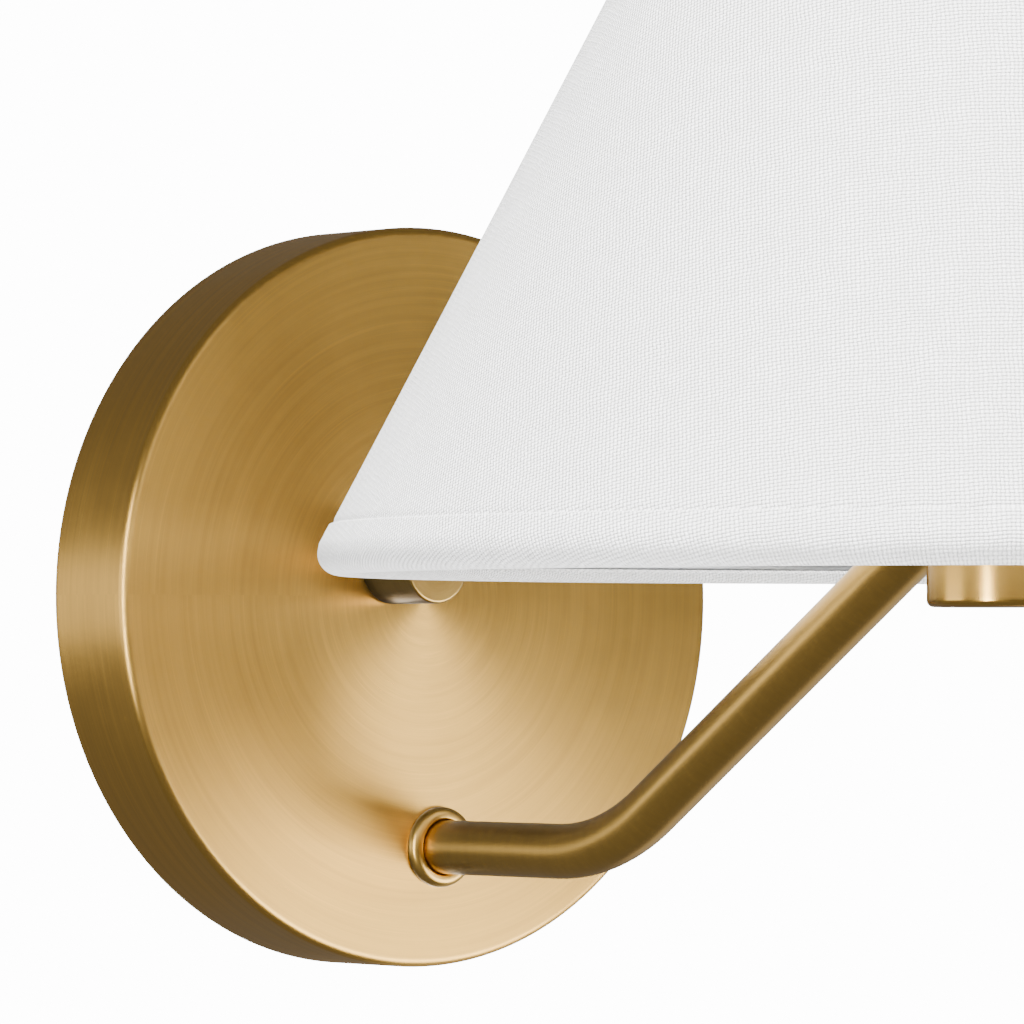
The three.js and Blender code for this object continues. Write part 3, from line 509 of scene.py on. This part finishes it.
def tube_place(g):
    """Across and along the scratches that run round the tube, from its own unrolled skin."""
    parts = g.add("ShaderNodeSeparateXYZ")
    g.join(g.add("ShaderNodeTexCoord").outputs["UV"], parts.inputs[0])
    along = g.math("MULTIPLY", parts.outputs[0], 2 * math.pi)
    return g.math("MULTIPLY", parts.outputs[1], 1 / MM), along


def plated(name, low, high, rough, grain_size=700.0, metallic=1.0, relief=0.08, coat=0.0):
    """A plated, moulded or glazed finish that drifts between two tones."""
    made, g, shader = material(name)
    skin_marks = g.use(MOULDING, Place=place_of(g), Grain_size=grain_size)
    marks = g.use(HANDLING, Place=place_of(g))
    g.join(g.blend(g.spread(skin_marks["Drift"], 0.3, 0.7), low, high), shader.inputs["Base Color"])
    dull = g.math("MULTIPLY_ADD", skin_marks["Height"], 0.12, rough - 0.06)
    g.join(g.math("MULTIPLY_ADD", marks["Smudge"], 0.08, dull), shader.inputs["Roughness"])
    g.join(g.bump(skin_marks["Height"], relief, 0.05 * MM), shader.inputs["Normal"])
    shader.inputs["Metallic"].default_value = metallic
    shader.inputs["Coat Weight"].default_value = coat
    return made


def cloth_place(g):
    parts = g.add("ShaderNodeSeparateXYZ")
    g.join(g.add("ShaderNodeTexCoord").outputs["UV"], parts.inputs[0])
    return g.math("MULTIPLY", parts.outputs[0], 1 / MM), g.math("MULTIPLY", parts.outputs[1], 1 / MM)


def linen_finish():
    made, g, shader = material("linen")
    warp, weft = cloth_place(g)
    cloth = g.use(WEAVE, Warp_mm=warp, Weft_mm=weft, Threads_per_mm=1.6)
    marks = g.use(HANDLING, Place=place_of(g))
    thread = g.blend(g.spread(cloth["Tone"], 0.5, 1.15), (0.72, 0.715, 0.70, 1), (0.93, 0.927, 0.918, 1))
    # Between the threads the colour is pulled towards dark grey: painted shade in the gaps of the weave.
    thread = g.blend(g.math("MULTIPLY", cloth["Shaded gaps"], 0.8), thread, (0.42, 0.415, 0.40, 1))
    thread = g.blend(g.math("MULTIPLY", marks["Smudge"], 0.06), thread, (0.74, 0.72, 0.68, 1))
    g.join(thread, shader.inputs["Base Color"])
    g.join(g.math("MULTIPLY_ADD", cloth["Height"], 0.06, 0.82), shader.inputs["Roughness"])
    g.join(g.bump(cloth["Height"], 1.0, 0.36 * MM), shader.inputs["Normal"])
    shader.inputs["Sheen Weight"].default_value = 0.25
    shader.inputs["Sheen Roughness"].default_value = 0.5
    shader.inputs["Specular IOR Level"].default_value = 0.25
    return made


def lining_finish():
    made, g, shader = material("lining")
    skin_marks = g.use(MOULDING, Place=place_of(g), Grain_size=1600.0)
    colour = g.blend(g.spread(skin_marks["Drift"], 0.3, 0.7), (0.80, 0.795, 0.78, 1), (0.88, 0.875, 0.865, 1))
    g.join(colour, shader.inputs["Base Color"])
    g.join(g.math("MULTIPLY_ADD", skin_marks["Height"], 0.15, 0.6), shader.inputs["Roughness"])
    g.join(g.bump(skin_marks["Height"], 0.12, 0.05 * MM), shader.inputs["Normal"])
    return made


def frosted_finish():
    made, g, shader = material("frosted_glass")
    skin_marks = g.use(MOULDING, Place=place_of(g), Grain_size=2500.0)
    colour = g.blend(g.spread(skin_marks["Drift"], 0.3, 0.7), (0.90, 0.89, 0.86, 1), (0.95, 0.945, 0.93, 1))
    g.join(colour, shader.inputs["Base Color"])
    g.join(g.math("MULTIPLY_ADD", skin_marks["Height"], 0.1, 0.34), shader.inputs["Roughness"])
    shader.inputs["Transmission Weight"].default_value = 0.35
    shader.inputs["Coat Weight"].default_value = 0.4
    shader.inputs["Coat Roughness"].default_value = 0.12
    return made


PLATE_BRASS = brass_finish("plate_brass", lambda g: turned_place(g, (0, 0, 0), False), "Y", 10.0)
# The knob's brass is a darker copy of the plate's brass: painted shade for the shadow the lamp shade casts on
# the knob.
KNOB_BRASS_PAINTED_SHADE = brass_finish(
    "knob_brass_painted_shade", lambda g: turned_place(g, KNOB_AXIS, False), None, 9.0, anisotropic=0.0,
    deep=(0.34, 0.21, 0.06, 1), bright=(0.50, 0.32, 0.095, 1),
)
# The collar's and the tube's brass are a dimmer copy of the plate's brass, with a darker bright tone: painted
# shade. The rim screws share the collar's copy.
COLLAR_BRASS_PAINTED_SHADE = brass_finish(
    "collar_brass_painted_shade", lambda g: turned_place(g, ARM_AXIS, False), None, 7.0, 0.3, anisotropic=0.0,
    relief=0.002, tones=(0.6, 0.8), deep=(0.44, 0.265, 0.07, 1), bright=(0.68, 0.415, 0.10, 1),
)
TUBE_BRASS_PAINTED_SHADE = brass_finish(
    "tube_brass_painted_shade", tube_place, None, 8.0, 0.3, anisotropic=0.0, relief=0.003, tones=(0.5, 0.8), wear=0.6,
    deep=(0.44, 0.265, 0.07, 1), bright=(0.68, 0.415, 0.10, 1),
)
CUP_BRASS = brass_finish(
    "cup_brass", lambda g: turned_place(g, HEAD_AXIS, True), None, 4.0, 0.23, anisotropic=0.0,
    relief=0.0005, tones=(0.68, 0.78), wear=0.25,
)
RAW_BRASS = plated("raw_brass", (0.60, 0.42, 0.18, 1), (0.78, 0.58, 0.28, 1), 0.36)
ZINC = plated("zinc_steel", (0.50, 0.51, 0.53, 1), (0.66, 0.66, 0.65, 1), 0.36)
NICKEL = plated("nickel_cap", (0.66, 0.64, 0.60, 1), (0.78, 0.77, 0.74, 1), 0.25)
GREEN = plated("green_screw", (0.08, 0.27, 0.13, 1), (0.13, 0.36, 0.18, 1), 0.4, metallic=0.6)
PHENOLIC = plated("black_plastic", (0.018, 0.017, 0.016, 1), (0.035, 0.033, 0.03, 1), 0.45, metallic=0.0,
                  relief=0.2)
CERAMIC = plated("white_ceramic", (0.80, 0.78, 0.73, 1), (0.86, 0.85, 0.81, 1), 0.28, 250.0, 0.0, 0.1,
                 coat=0.5)
SPLICE = plated("splice_plastic", (0.62, 0.25, 0.04, 1), (0.74, 0.32, 0.06, 1), 0.45, metallic=0.0,
                relief=0.2)
BLACK_LEAD = plated("black_lead", (0.015, 0.015, 0.015, 1), (0.03, 0.03, 0.03, 1), 0.5, metallic=0.0)
WHITE_LEAD = plated("white_lead", (0.70, 0.70, 0.67, 1), (0.80, 0.80, 0.78, 1), 0.5, metallic=0.0)
LINEN = linen_finish()
LINING = lining_finish()
FROSTED = frosted_finish()


def dress(obj, finish, body, slot_name, *nodes):
    """Gives a piece its finish and its body, and hides the CAD nodes it stands for. The slot name is not
    used.
    """
    obj.data.materials.append(finish)
    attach(obj, body)
    if nodes:
        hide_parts(*nodes)
    return obj


# ------------------------------------------------------------------ back plate
def make_plate():
    """The spun pan: a flat face, a small round at its edge and a straight rim."""
    inside = PLATE_RADIUS - PLATE_WALL
    back_face = PLATE_FRONT + PLATE_WALL
    rings = [r * PLATE_RADIUS for r in (0.9, 0.6, 0.3)]
    fillet_centre = (PLATE_RADIUS - PLATE_FILLET, PLATE_FRONT + PLATE_FILLET)
    inner_round = 0.7 * MM
    inner_break = 0.1 * MM
    outer_break = 0.2 * MM
    beside = 1 * MM  # extra rings beside the corners keep the flat faces flat
    past_fillet = 0.3 * MM
    profile = [(0.0, back_face)]
    profile += [(r, back_face) for r in reversed(rings)]
    profile += [(inside - beside, back_face)]
    profile += arc((inside - inner_round, back_face + inner_round), inner_round, -90, 0, 4)
    profile += [(inside, -beside), (inside, -inner_break), (inside + inner_break, 0.0)]
    profile += [(PLATE_RADIUS - outer_break, 0.0), (PLATE_RADIUS, -outer_break), (PLATE_RADIUS, -beside)]
    profile += [(PLATE_RADIUS, PLATE_FRONT * 0.5)]
    profile += [(PLATE_RADIUS, PLATE_FRONT + PLATE_FILLET + past_fillet)]
    profile += arc(fillet_centre, PLATE_FILLET, 0, -90, 10)
    profile += [(PLATE_RADIUS - PLATE_FILLET - past_fillet, PLATE_FRONT)]
    profile += [(r, PLATE_FRONT) for r in rings]
    profile += [(0.0, PLATE_FRONT)]
    plate = turned_out("plate_pan", profile, Vector((0, 0, 0)), 288, closed=False)
    bore_through(plate, ARM_AXIS, COLLAR_SLEEVE + BORE_SLACK)
    bore_through(plate, KNOB_AXIS, SWITCH_HOLE)
    plate.visible_glossy = False  # the pieces in front of it mirror the room, not the plate
    dress(plate, PLATE_BRASS, "wall_plate", "satin_brass", "back_plate")


def bore_through(plate, axis, radius):
    """A round hole through the pan's face, cut and applied."""
    overrun = 1 * MM
    start = PLATE_FRONT - overrun
    end = PLATE_FRONT + PLATE_WALL + overrun
    drill = turned_out("drill", [(0.0, start), (radius, start), (radius, end), (0.0, end)], axis, 64,
                       closed=False)
    cutter = plate.modifiers.new("bore", "BOOLEAN")
    cutter.operation = "DIFFERENCE"
    cutter.solver = "MANIFOLD"
    cutter.object = drill
    plate.modifiers.move(len(plate.modifiers) - 1, 0)
    bpy.context.view_layer.update()
    flat = bpy.data.meshes.new_from_object(plate.evaluated_get(bpy.context.evaluated_depsgraph_get()))
    plate.modifiers.clear()
    flat.materials.clear()
    plate.data = flat
    bpy.data.objects.remove(drill)
    smooth_faces(plate)


def make_collar():
    """A round-shouldered bead close round the tube, on a sleeve that goes through the plate."""
    bore = COLLAR_RADIUS - COLLAR_BEAD
    shoulder = 1.4 * MM
    lip = 0.4 * MM
    seat = PLATE_FRONT - 0.02 * MM
    profile = [(bore, COLLAR_BACK), (COLLAR_SLEEVE, COLLAR_BACK), (COLLAR_SLEEVE, seat),
               (COLLAR_RADIUS, seat)]
    profile += arc((COLLAR_RADIUS - shoulder, COLLAR_FACE + shoulder), shoulder, 0, -90, 10)
    profile += arc((bore + lip, COLLAR_FACE + lip), lip, -90, -180, 5)
    collar = turned_out("collar_ring", eased(profile, 0.12 * MM, 2), ARM_AXIS, 96)
    dress(collar, COLLAR_BRASS_PAINTED_SHADE, "wall_plate", "satin_brass", "arm_collar")


def make_knob():
    """A plain turned knob: crisp edge, shallow dished face, hollow back."""
    cavity = 5.6 * MM
    cavity_floor = KNOB_BACK - 2.6 * MM
    bore = 2.3 * MM
    bore_end = cavity_floor - 8 * MM
    edge = 0.55 * MM
    half_dish, dish = 0.05 * MM, 0.08 * MM
    profile = [
        (cavity, KNOB_BACK), (KNOB_RADIUS, KNOB_BACK), (KNOB_RADIUS, KNOB_FACE, edge),
        (KNOB_RADIUS * 0.5, KNOB_FACE + half_dish), (0.0, KNOB_FACE + dish), (0.0, bore_end),
        (bore, bore_end), (bore, cavity_floor), (cavity, cavity_floor),
    ]
    knob = turned_out("knob_body", eased(profile, 0.15 * MM, 5), KNOB_AXIS, 96)
    dress(knob, KNOB_BRASS_PAINTED_SHADE, "knob", "satin_brass", "control_knob")


# ------------------------------------------------------------------ arm
def arm_stations():
    """Points and directions along the tube: straight out, one bend upwards, straight to the cup."""
    corner = CUP_Y + (TUBE_MEETS_CUP - ARM_AXIS.z) / math.tan(TUBE_RISE)
    tangent = TUBE_BEND * math.tan(TUBE_RISE / 2)
    start = corner + tangent
    stations = [(Vector((ARM_AXIS.x, y, ARM_AXIS.z)), Vector((0, -1, 0)))
                for y in (TUBE_TAIL, TUBE_TAIL - TUBE_LIP, TUBE_TAIL - 6 * MM, start + 6 * MM)]
    for i in range(25):
        angle = TUBE_RISE * i / 24
        rise = TUBE_BEND * (1 - math.cos(angle))
        point = Vector((ARM_AXIS.x, start - TUBE_BEND * math.sin(angle), ARM_AXIS.z + rise))
        stations.append((point, Vector((0, -math.cos(angle), math.sin(angle)))))
    along = Vector((0, -math.cos(TUBE_RISE), math.sin(TUBE_RISE)))
    bend_end = stations[-1][0]
    tip_y = CUP_Y + TUBE_TIP_FROM_CUP_AXIS
    length = (bend_end.y - tip_y) / math.cos(TUBE_RISE)
    for share in (0.05, 0.35, 0.65, 0.95):
        stations.append((bend_end + along * (length * share), along))
    tip = bend_end + along * length
    stations += [(tip - along * TUBE_LIP, along), (tip, along)]
    return stations


def make_tube():
    stations = arm_stations()
    run = [0.0]
    for a, b in zip(stations, stations[1:]):
        run.append(run[-1] + (b[0] - a[0]).length)
    rows = [0.0, 0.0] + run[1:-1] + [run[-1]] * 2 + run[-2:0:-1]

    def unrolled(i, j):
        return (j / TUBE_SIDES, rows[i % len(rows)])

    tube = along_path("tube_arm", stations, (TUBE_RADIUS, TUBE_RADIUS - TUBE_WALL), unrolled)
    dress(tube, TUBE_BRASS_PAINTED_SHADE, "arm", "satin_brass", "arm_tube")


def make_cup():
    """A drawn cup: flat bottom with a small round edge and a fine rolled rim."""
    inside = CUP_RADIUS - CUP_WALL
    floor = CUP_BOTTOM + 1.8 * MM
    screw_hole = 1.8 * MM
    head_recess = 2.9 * MM
    recess_top = CUP_BOTTOM + 1.25 * MM
    beside = 0.4 * MM
    profile = [(head_recess, CUP_BOTTOM), (CUP_RADIUS - CUP_EDGE - beside, CUP_BOTTOM)]
    profile += arc((CUP_RADIUS - CUP_EDGE, CUP_BOTTOM + CUP_EDGE), CUP_EDGE, -90, 0, 8)
    profile += [(CUP_RADIUS, CUP_BOTTOM + CUP_EDGE + beside), (CUP_RADIUS, CUP_TOP - CUP_WALL / 2)]
    profile += arc((CUP_RADIUS - CUP_WALL / 2, CUP_TOP - CUP_WALL / 2), CUP_WALL / 2, 0, 180, 8)
    profile += [(inside, CUP_TOP - CUP_WALL), (inside, floor), (screw_hole, floor),
                (screw_hole, recess_top), (head_recess, recess_top)]
    cup = turned_up("cup_shell", profile, sides=128)
    dress(cup, CUP_BRASS, "arm", "satin_brass", "socket_cup")


def make_braze():
    """The thin fillet of solder where the tube enters the cup's side."""
    stations = []
    sides = 72
    bead = 0.42 * MM
    line = Vector((0, -math.cos(TUBE_RISE), math.sin(TUBE_RISE)))
    side = Vector((1, 0, 0))
    up = line.cross(side).normalized()
    centre = HEAD_AXIS + Vector((0, 0, TUBE_MEETS_CUP))
    for j in range(sides):
        angle = 2 * math.pi * j / sides
        radial = side * math.cos(angle) + up * math.sin(angle)
        point = centre + radial * TUBE_RADIUS
        aside = point.x - HEAD_AXIS.x
        back = (math.sqrt(CUP_RADIUS ** 2 - aside ** 2) - (point.y - CUP_Y)) / math.cos(TUBE_RISE)
        stations.append((point - line * back, radial))
    rings = []
    for point, radial in stations:
        rings.append([
            point + (radial * math.cos(a) - line * math.sin(a)) * bead
            for a in (2 * math.pi * k / 10 for k in range(10))
        ])
    braze = skin("braze_fillet", rings, True)
    dress(braze, CUP_BRASS, "arm", "satin_brass")


# ------------------------------------------------------------------ socket and bulb
def make_socket():
    low, high = span("socket_body", Z)
    flange = half("socket_body", X)
    lower = CUP_RADIUS - CUP_WALL - 0.5 * MM
    flange_low = CUP_TOP + 0.25 * MM
    flange_high = flange_low + 2.2 * MM
    sleeve = 12 * MM
    thread_depth = 0.5 * MM
    bore = 8.4 * MM
    bore_floor = low + 3 * MM
    wire_hole = 1.5 * MM
    profile = [(wire_hole, low), (lower, low), (lower, flange_low), (flange, flange_low),
               (flange, flange_high), (sleeve - thread_depth, flange_high)]
    turns = 6
    pitch = (high - flange_high - 1 * MM) / turns
    for i in range(turns):
        z = flange_high + 0.5 * MM + i * pitch
        profile += [(sleeve - thread_depth, z, 0), (sleeve, z + pitch * 0.35, 0),
                    (sleeve, z + pitch * 0.6, 0)]
    profile += [(sleeve - thread_depth, high), (bore, high), (bore, bore_floor), (wire_hole, bore_floor)]
    socket = turned_up("socket_porcelain", eased(profile, 0.3 * MM, 3), sides=96)
    dress(socket, CERAMIC, "arm", "white_ceramic", "socket_body")


def make_ring_nut():
    """A moulded nut with a ribbed edge for the fingers."""
    low, high = span("shade_ring_nut", Z)
    outer = half("shade_ring_nut", Y)
    inner = FITTER_HOLE

    rib_depth = 0.45 * MM
    rib_count = 30

    def ribs(angle, radius, _height):
        if radius <= outer - 0.3 * MM:
            return 0
        return -rib_depth * (0.5 + 0.5 * math.cos(angle * rib_count)) ** 2

    profile = [(inner, low), (outer, low), (outer, high - 0.6 * MM), (outer - 1 * MM, high), (inner, high)]
    nut = turned_up("ring_nut_ribbed", eased(profile, 0.35 * MM, 3), sides=240, wave=ribs)
    dress(nut, PHENOLIC, "arm", "black_plastic", "shade_ring_nut")


def make_bulb():
    low, high = span("bulb_glass", Z)
    radius = half("bulb_glass", Y)
    wall = 1 * MM
    neck = 6.9 * MM
    centre = high - radius

    def outline(ball, throat):
        points = [(throat, low), (throat, low + 2 * MM)]
        meet = arc((0.0, centre), ball, -50, 90, 22)
        knee = Vector((throat + 0.3 * MM, low + 8 * MM))
        start, end = Vector(points[-1]), Vector(meet[0])
        for i in range(1, 8):
            t = i / 8
            points.append(tuple(start * (1 - t) ** 2 + knee * 2 * t * (1 - t) + end * t * t))
        points += meet
        points[-1] = (0.0, centre + ball)
        return points

    profile = list(reversed(outline(radius - wall, neck - wall))) + outline(radius, neck)
    bulb = turned_up("bulb_envelope", profile, sides=72, closed=False)
    dress(bulb, FROSTED, "arm", "frosted_glass", "bulb_glass")
    base_low, base_high = span("bulb_base", Z)
    outer = half("bulb_base", Y)
    skirt = base_low + 3.6 * MM
    button = 2.4 * MM
    profile = [(0.0, base_low), (button, base_low), (button, base_low + 1.6 * MM), (outer - 1.2 * MM, skirt)]
    turns = 6
    pitch = (base_high - skirt - 2 * MM) / turns
    for i in range(turns):
        z = skirt + i * pitch
        profile += [(outer - 0.5 * MM, z + pitch * 0.1, 0.5 * MM), (outer, z + pitch * 0.5, 0.8 * MM)]
    profile += [(outer - 0.3 * MM, base_high - 1.5 * MM), (outer - 0.3 * MM, base_high), (0.0, base_high)]
    base = turned_up("bulb_cap", eased(profile, 0.3 * MM, 4), sides=64, closed=False)
    dress(base, NICKEL, "arm", "zinc_steel", "bulb_base")


# ------------------------------------------------------------------ shade
def slant(point, up, out):
    """A point moved up the slant and square out from it."""
    radius = point[0] - math.sin(SHADE_TILT) * up + math.cos(SHADE_TILT) * out
    return radius, point[1] + math.cos(SHADE_TILT) * up + math.sin(SHADE_TILT) * out


def smooth_step(value, low, high):
    t = min(max((value - low) / (high - low), 0.0), 1.0)
    return t * t * (3 - 2 * t)


def make_shade():
    """Linen on a cone, turned under the bottom wire and over the top wire, its hems stuck down outside."""
    tilt = math.degrees(SHADE_TILT)
    inner_roll = SHADE_ROLL - FABRIC
    length = math.hypot(TOP_WIRE[0] - BOTTOM_WIRE[0], TOP_WIRE[1] - BOTTOM_WIRE[1])
    edge = HEM_HEIGHT - SHADE_ROLL
    near_edge = (-0.4, -0.25, -0.1, 0.0, 0.1, 0.25, 0.5, 0.9, 1.6, 3.0)
    steps = [0.0, edge * 0.5] + [edge + s * MM for s in near_edge]
    rows = list(steps)
    rows += [12 * MM + (length - 24 * MM) * i / 22 for i in range(23)]
    rows += [length - s for s in reversed(steps)]

    def hem(up):
        """The stuck-down hem stands proud, and the cloth dips a little just past its edge."""
        past = min(up, length - up) - edge
        dip = math.exp(-((past - 0.3 * MM) / (0.35 * MM)) ** 2)
        return HEM_PROUD * (1 - smooth_step(past, -0.2 * MM, 0.12 * MM)) - 0.22 * MM * dip

    outside = arc(BOTTOM_WIRE, SHADE_ROLL, -180 + tilt, tilt, 16)[:-1]
    outside += [slant(BOTTOM_WIRE, up, SHADE_ROLL + hem(up) - HEM_PROUD * 0.5) for up in rows]
    outside += arc(TOP_WIRE, SHADE_ROLL, tilt, 165, 14)[1:]
    inside = arc(TOP_WIRE, inner_roll, 165, tilt, 14)[:-1]
    inside += [slant(BOTTOM_WIRE, up, inner_roll) for up in reversed(rows)]
    inside += arc(BOTTOM_WIRE, inner_roll, tilt, -180 + tilt, 16)[1:]
    profile = outside + inside
    seam_at = math.radians(SEAM_TURN)
    sides = 360

    def hand_made(angle, radius, height):
        off_seam = abs((angle - seam_at + math.pi) % (2 * math.pi) - math.pi) * radius
        lap = SEAM_PROUD * (1 - smooth_step(off_seam, SEAM_HALF - 1.2 * MM, SEAM_HALF + 1.2 * MM))
        drift = noise.noise(Vector((math.cos(angle) * 2.2, math.sin(angle) * 2.2, height * 14)))
        return lap + 0.12 * MM * drift

    apex = BOTTOM_WIRE[1] + BOTTOM_WIRE[0] / SHADE_SLOPE
    flat_share = math.sin(SHADE_TILT)

    def flat_cut(i, j):
        """Where a point lies on the cloth before it is bent round the cone, seam at its two ends."""
        height = profile[i % len(profile)][1]
        far = (apex - height) / math.cos(SHADE_TILT)
        turn = ((2 * math.pi * j / sides - seam_at) % (2 * math.pi) - math.pi) * flat_share
        return far * math.sin(turn), far * math.cos(turn)

    shade = turned_up("shade_linen", profile, sides=sides, wave=hand_made, uv=flat_cut)
    dress(shade, LINEN, "shade", "linen", "shade_cover")


def make_lining():
    outer = SHADE_ROLL - FABRIC - 0.4 * MM
    inner = outer - 0.6 * MM
    clear = WIRE_RADIUS + 0.8 * MM
    length = math.hypot(TOP_WIRE[0] - BOTTOM_WIRE[0], TOP_WIRE[1] - BOTTOM_WIRE[1])
    ups = [clear + (length - 2 * clear) * i / 16 for i in range(17)]
    profile = [slant(BOTTOM_WIRE, up, outer) for up in ups]
    profile += [slant(BOTTOM_WIRE, up, inner) for up in reversed(ups)]
    lining = turned_up("shade_lining", profile, sides=240)
    dress(lining, LINING, "shade", "liner_paper", "shade_liner")


def make_wires():
    for node, centre, name in (("shade_top_wire", TOP_WIRE, "rim_wire_top"),
                               ("shade_bottom_wire", BOTTOM_WIRE, "rim_wire_bottom")):
        wire = turned_up(name, arc(centre, WIRE_RADIUS, 0, 337.5, 15), sides=180)
        dress(wire, ZINC, "shade", "zinc_steel", node)


def make_fitter():
    low, high = span("fitter_ring", Z)
    outer = half("fitter_ring", X)
    inner = FITTER_HOLE
    profile = [(inner, low), (outer, low), (outer, high), (inner, high)]
    ring = turned_up("fitter_washer", eased(profile, 0.3 * MM, 3), sides=96)
    dress(ring, ZINC, "shade", "zinc_steel", "fitter_ring")
    arm_radius = 1.3 * MM
    foot_radius = outer - arm_radius - 0.4 * MM
    for i in range(3):
        turn = math.pi / 2 + 2 * math.pi * i / 3
        out = Vector((math.cos(turn), math.sin(turn), 0))
        foot = HEAD_AXIS + out * foot_radius + Vector((0, 0, high + 0.4 * MM))
        head = HEAD_AXIS + out * TOP_WIRE[0] + Vector((0, 0, TOP_WIRE[1]))
        head -= (head - foot).normalized() * (WIRE_RADIUS + 0.25 * MM)
        arm = rod(f"fitter_rod_{i + 1}", foot, head, arm_radius)
        dress(arm, ZINC, "shade", "zinc_steel", f"fitter_arm_{i + 1}")


# ------------------------------------------------------------------ the pieces inside
def make_fittings():
    """The small pieces behind the plate and in the cup, with eased edges."""
    kit = {
        "wall_plate": [
            ("mounting_strap", ZINC, "zinc_steel", 0.3), ("box_screw_left", ZINC, "zinc_steel", 0.12),
            ("box_screw_right", ZINC, "zinc_steel", 0.12), ("ground_screw", GREEN, "green_screw", 0.12),
            ("rim_screw_top", COLLAR_BRASS_PAINTED_SHADE, "satin_brass", 0.1),
            ("rim_screw_bottom", COLLAR_BRASS_PAINTED_SHADE, "satin_brass", 0.1),
            ("switch_housing", PHENOLIC, "black_plastic", 0.4), ("switch_nut", ZINC, "zinc_steel", 0.15),
            ("collar_washer", ZINC, "zinc_steel", 0.1), ("collar_nut", ZINC, "zinc_steel", 0.25),
            ("switch_splice_left", SPLICE, "splice_plastic", 0.2),
            ("switch_splice_right", SPLICE, "splice_plastic", 0.2),
            ("switch_lead_left", BLACK_LEAD, "black_lead", 0),
            ("switch_lead_right", BLACK_LEAD, "black_lead", 0),
        ],
        "knob": [("switch_shaft", RAW_BRASS, "raw_brass", 0.15), ("knob_screw", ZINC, "zinc_steel", 0.1)],
        "arm": [
            ("arm_stop_ring", RAW_BRASS, "raw_brass", 0.2), ("cup_screw", ZINC, "zinc_steel", 0.1),
            ("socket_post", ZINC, "zinc_steel", 0.2), ("screw_shell", RAW_BRASS, "raw_brass", 0.1),
            ("centre_contact", RAW_BRASS, "raw_brass", 0.1),
            ("arm_splice_left", SPLICE, "splice_plastic", 0.2),
            ("arm_splice_right", SPLICE, "splice_plastic", 0.2),
            ("arm_lead_left", BLACK_LEAD, "black_lead", 0), ("arm_lead_right", WHITE_LEAD, "white_lead", 0),
        ],
    }
    for body, rows in kit.items():
        for node, finish, slot_name, bevel in rows:
            crease = EASED_CREASE if bevel else ROUND_CREASE
            piece = eased_copy(node, node + "_finished", bevel * MM, crease)
            dress(piece, finish, body, slot_name, node)


# ------------------------------------------------------------------ stage, light and camera
def make_floor():
    bm = bmesh.new()
    bmesh.ops.create_grid(bm, x_segments=8, y_segments=8, size=FLOOR_REACH)
    mesh = bpy.data.meshes.new("studio_floor")
    bm.to_mesh(mesh)
    bm.free()
    floor = bpy.data.objects.new("studio_floor", mesh)
    floor.location = (0, 0, FLOOR_HEIGHT)
    floor.visible_glossy = False
    bpy.context.scene.collection.objects.link(floor)
    made, g, shader = material("floor_paint")
    cloud = g.spread(g.noise(place_of(g), 3.0), 0.3, 0.7)
    paint = g.blend(cloud, (0.80, 0.80, 0.80, 1), (0.84, 0.84, 0.84, 1))
    g.join(paint, shader.inputs["Base Color"])
    shader.inputs["Roughness"].default_value = 0.8
    mesh.materials.append(made)


def soft_box(name, place, aim, width, height, power, for_cloth=False):
    """A square lamp; one kept for the cloth leaves no glint on the metal."""
    light = bpy.data.lights.new(name, "AREA")
    light.shape = "RECTANGLE"
    light.size = width
    light.size_y = height
    light.energy = power
    obj = bpy.data.objects.new(name, light)
    obj.location = place
    obj.rotation_euler = (Vector(aim) - Vector(place)).to_track_quat("-Z", "Y").to_euler()
    obj.visible_glossy = not for_cloth
    bpy.context.scene.collection.objects.link(obj)


def make_light():
    world = bpy.data.worlds.new("studio")
    bpy.context.scene.world = world
    world.use_nodes = True
    g = Graph(world.node_tree)
    back = next(n for n in world.node_tree.nodes if n.type == "BACKGROUND")
    out = next(n for n in world.node_tree.nodes if n.type == "OUTPUT_WORLD")
    back.inputs["Color"].default_value = (1, 1, 1, 1)
    back.inputs["Strength"].default_value = ROOM_GLOW
    seen = g.add("ShaderNodeBackground")
    seen.inputs["Color"].default_value = (1, 1, 1, 1)
    seen.inputs["Strength"].default_value = BACKDROP_GLOW
    mix = g.add("ShaderNodeMixShader")
    g.join(g.add("ShaderNodeLightPath").outputs["Is Camera Ray"], mix.inputs[0])
    g.join(back.outputs[0], mix.inputs[1])
    g.join(seen.outputs[0], mix.inputs[2])
    g.join(mix.outputs[0], out.inputs[0])
    soft_box("key", (1.08, -1.33, -0.74), (0, -0.05, -0.02), 1.25, 1.0, 46)
    soft_box("over", (-0.45, -0.85, 1.45), (0, -0.15, 0.05), 1.1, 0.9, 220, for_cloth=True)
    soft_box("strip", (-1.25, -0.65, 0.0), (0, -0.17, 0), 0.16, 1.1, 24)
    soft_box("side", (-1.3, 0.7, 0.0), (0, -0.05, 0), 0.9, 0.5, 4)
    soft_box("low", (1.1, 0.12, -0.8), (0, -0.1, 0), 1.2, 1.2, 2.5)


def make_camera():
    camera = bpy.data.cameras.new("camera")
    camera.sensor_width = CAMERA_SENSOR
    camera.lens = CAMERA_LENS
    camera.clip_start = 0.05
    obj = bpy.data.objects.new("camera", camera)
    obj.location = CAMERA_PLACE
    obj.rotation_euler = Vector(CAMERA_LINE).to_track_quat("-Z", "Y").to_euler()
    bpy.context.scene.collection.objects.link(obj)
    bpy.context.scene.camera = obj


make_camera()
make_plate()
make_collar()
make_knob()
make_tube()
make_cup()
make_braze()
make_socket()
make_ring_nut()
make_bulb()
make_shade()
make_lining()
make_wires()
make_fitter()
make_fittings()
make_floor()
make_light()
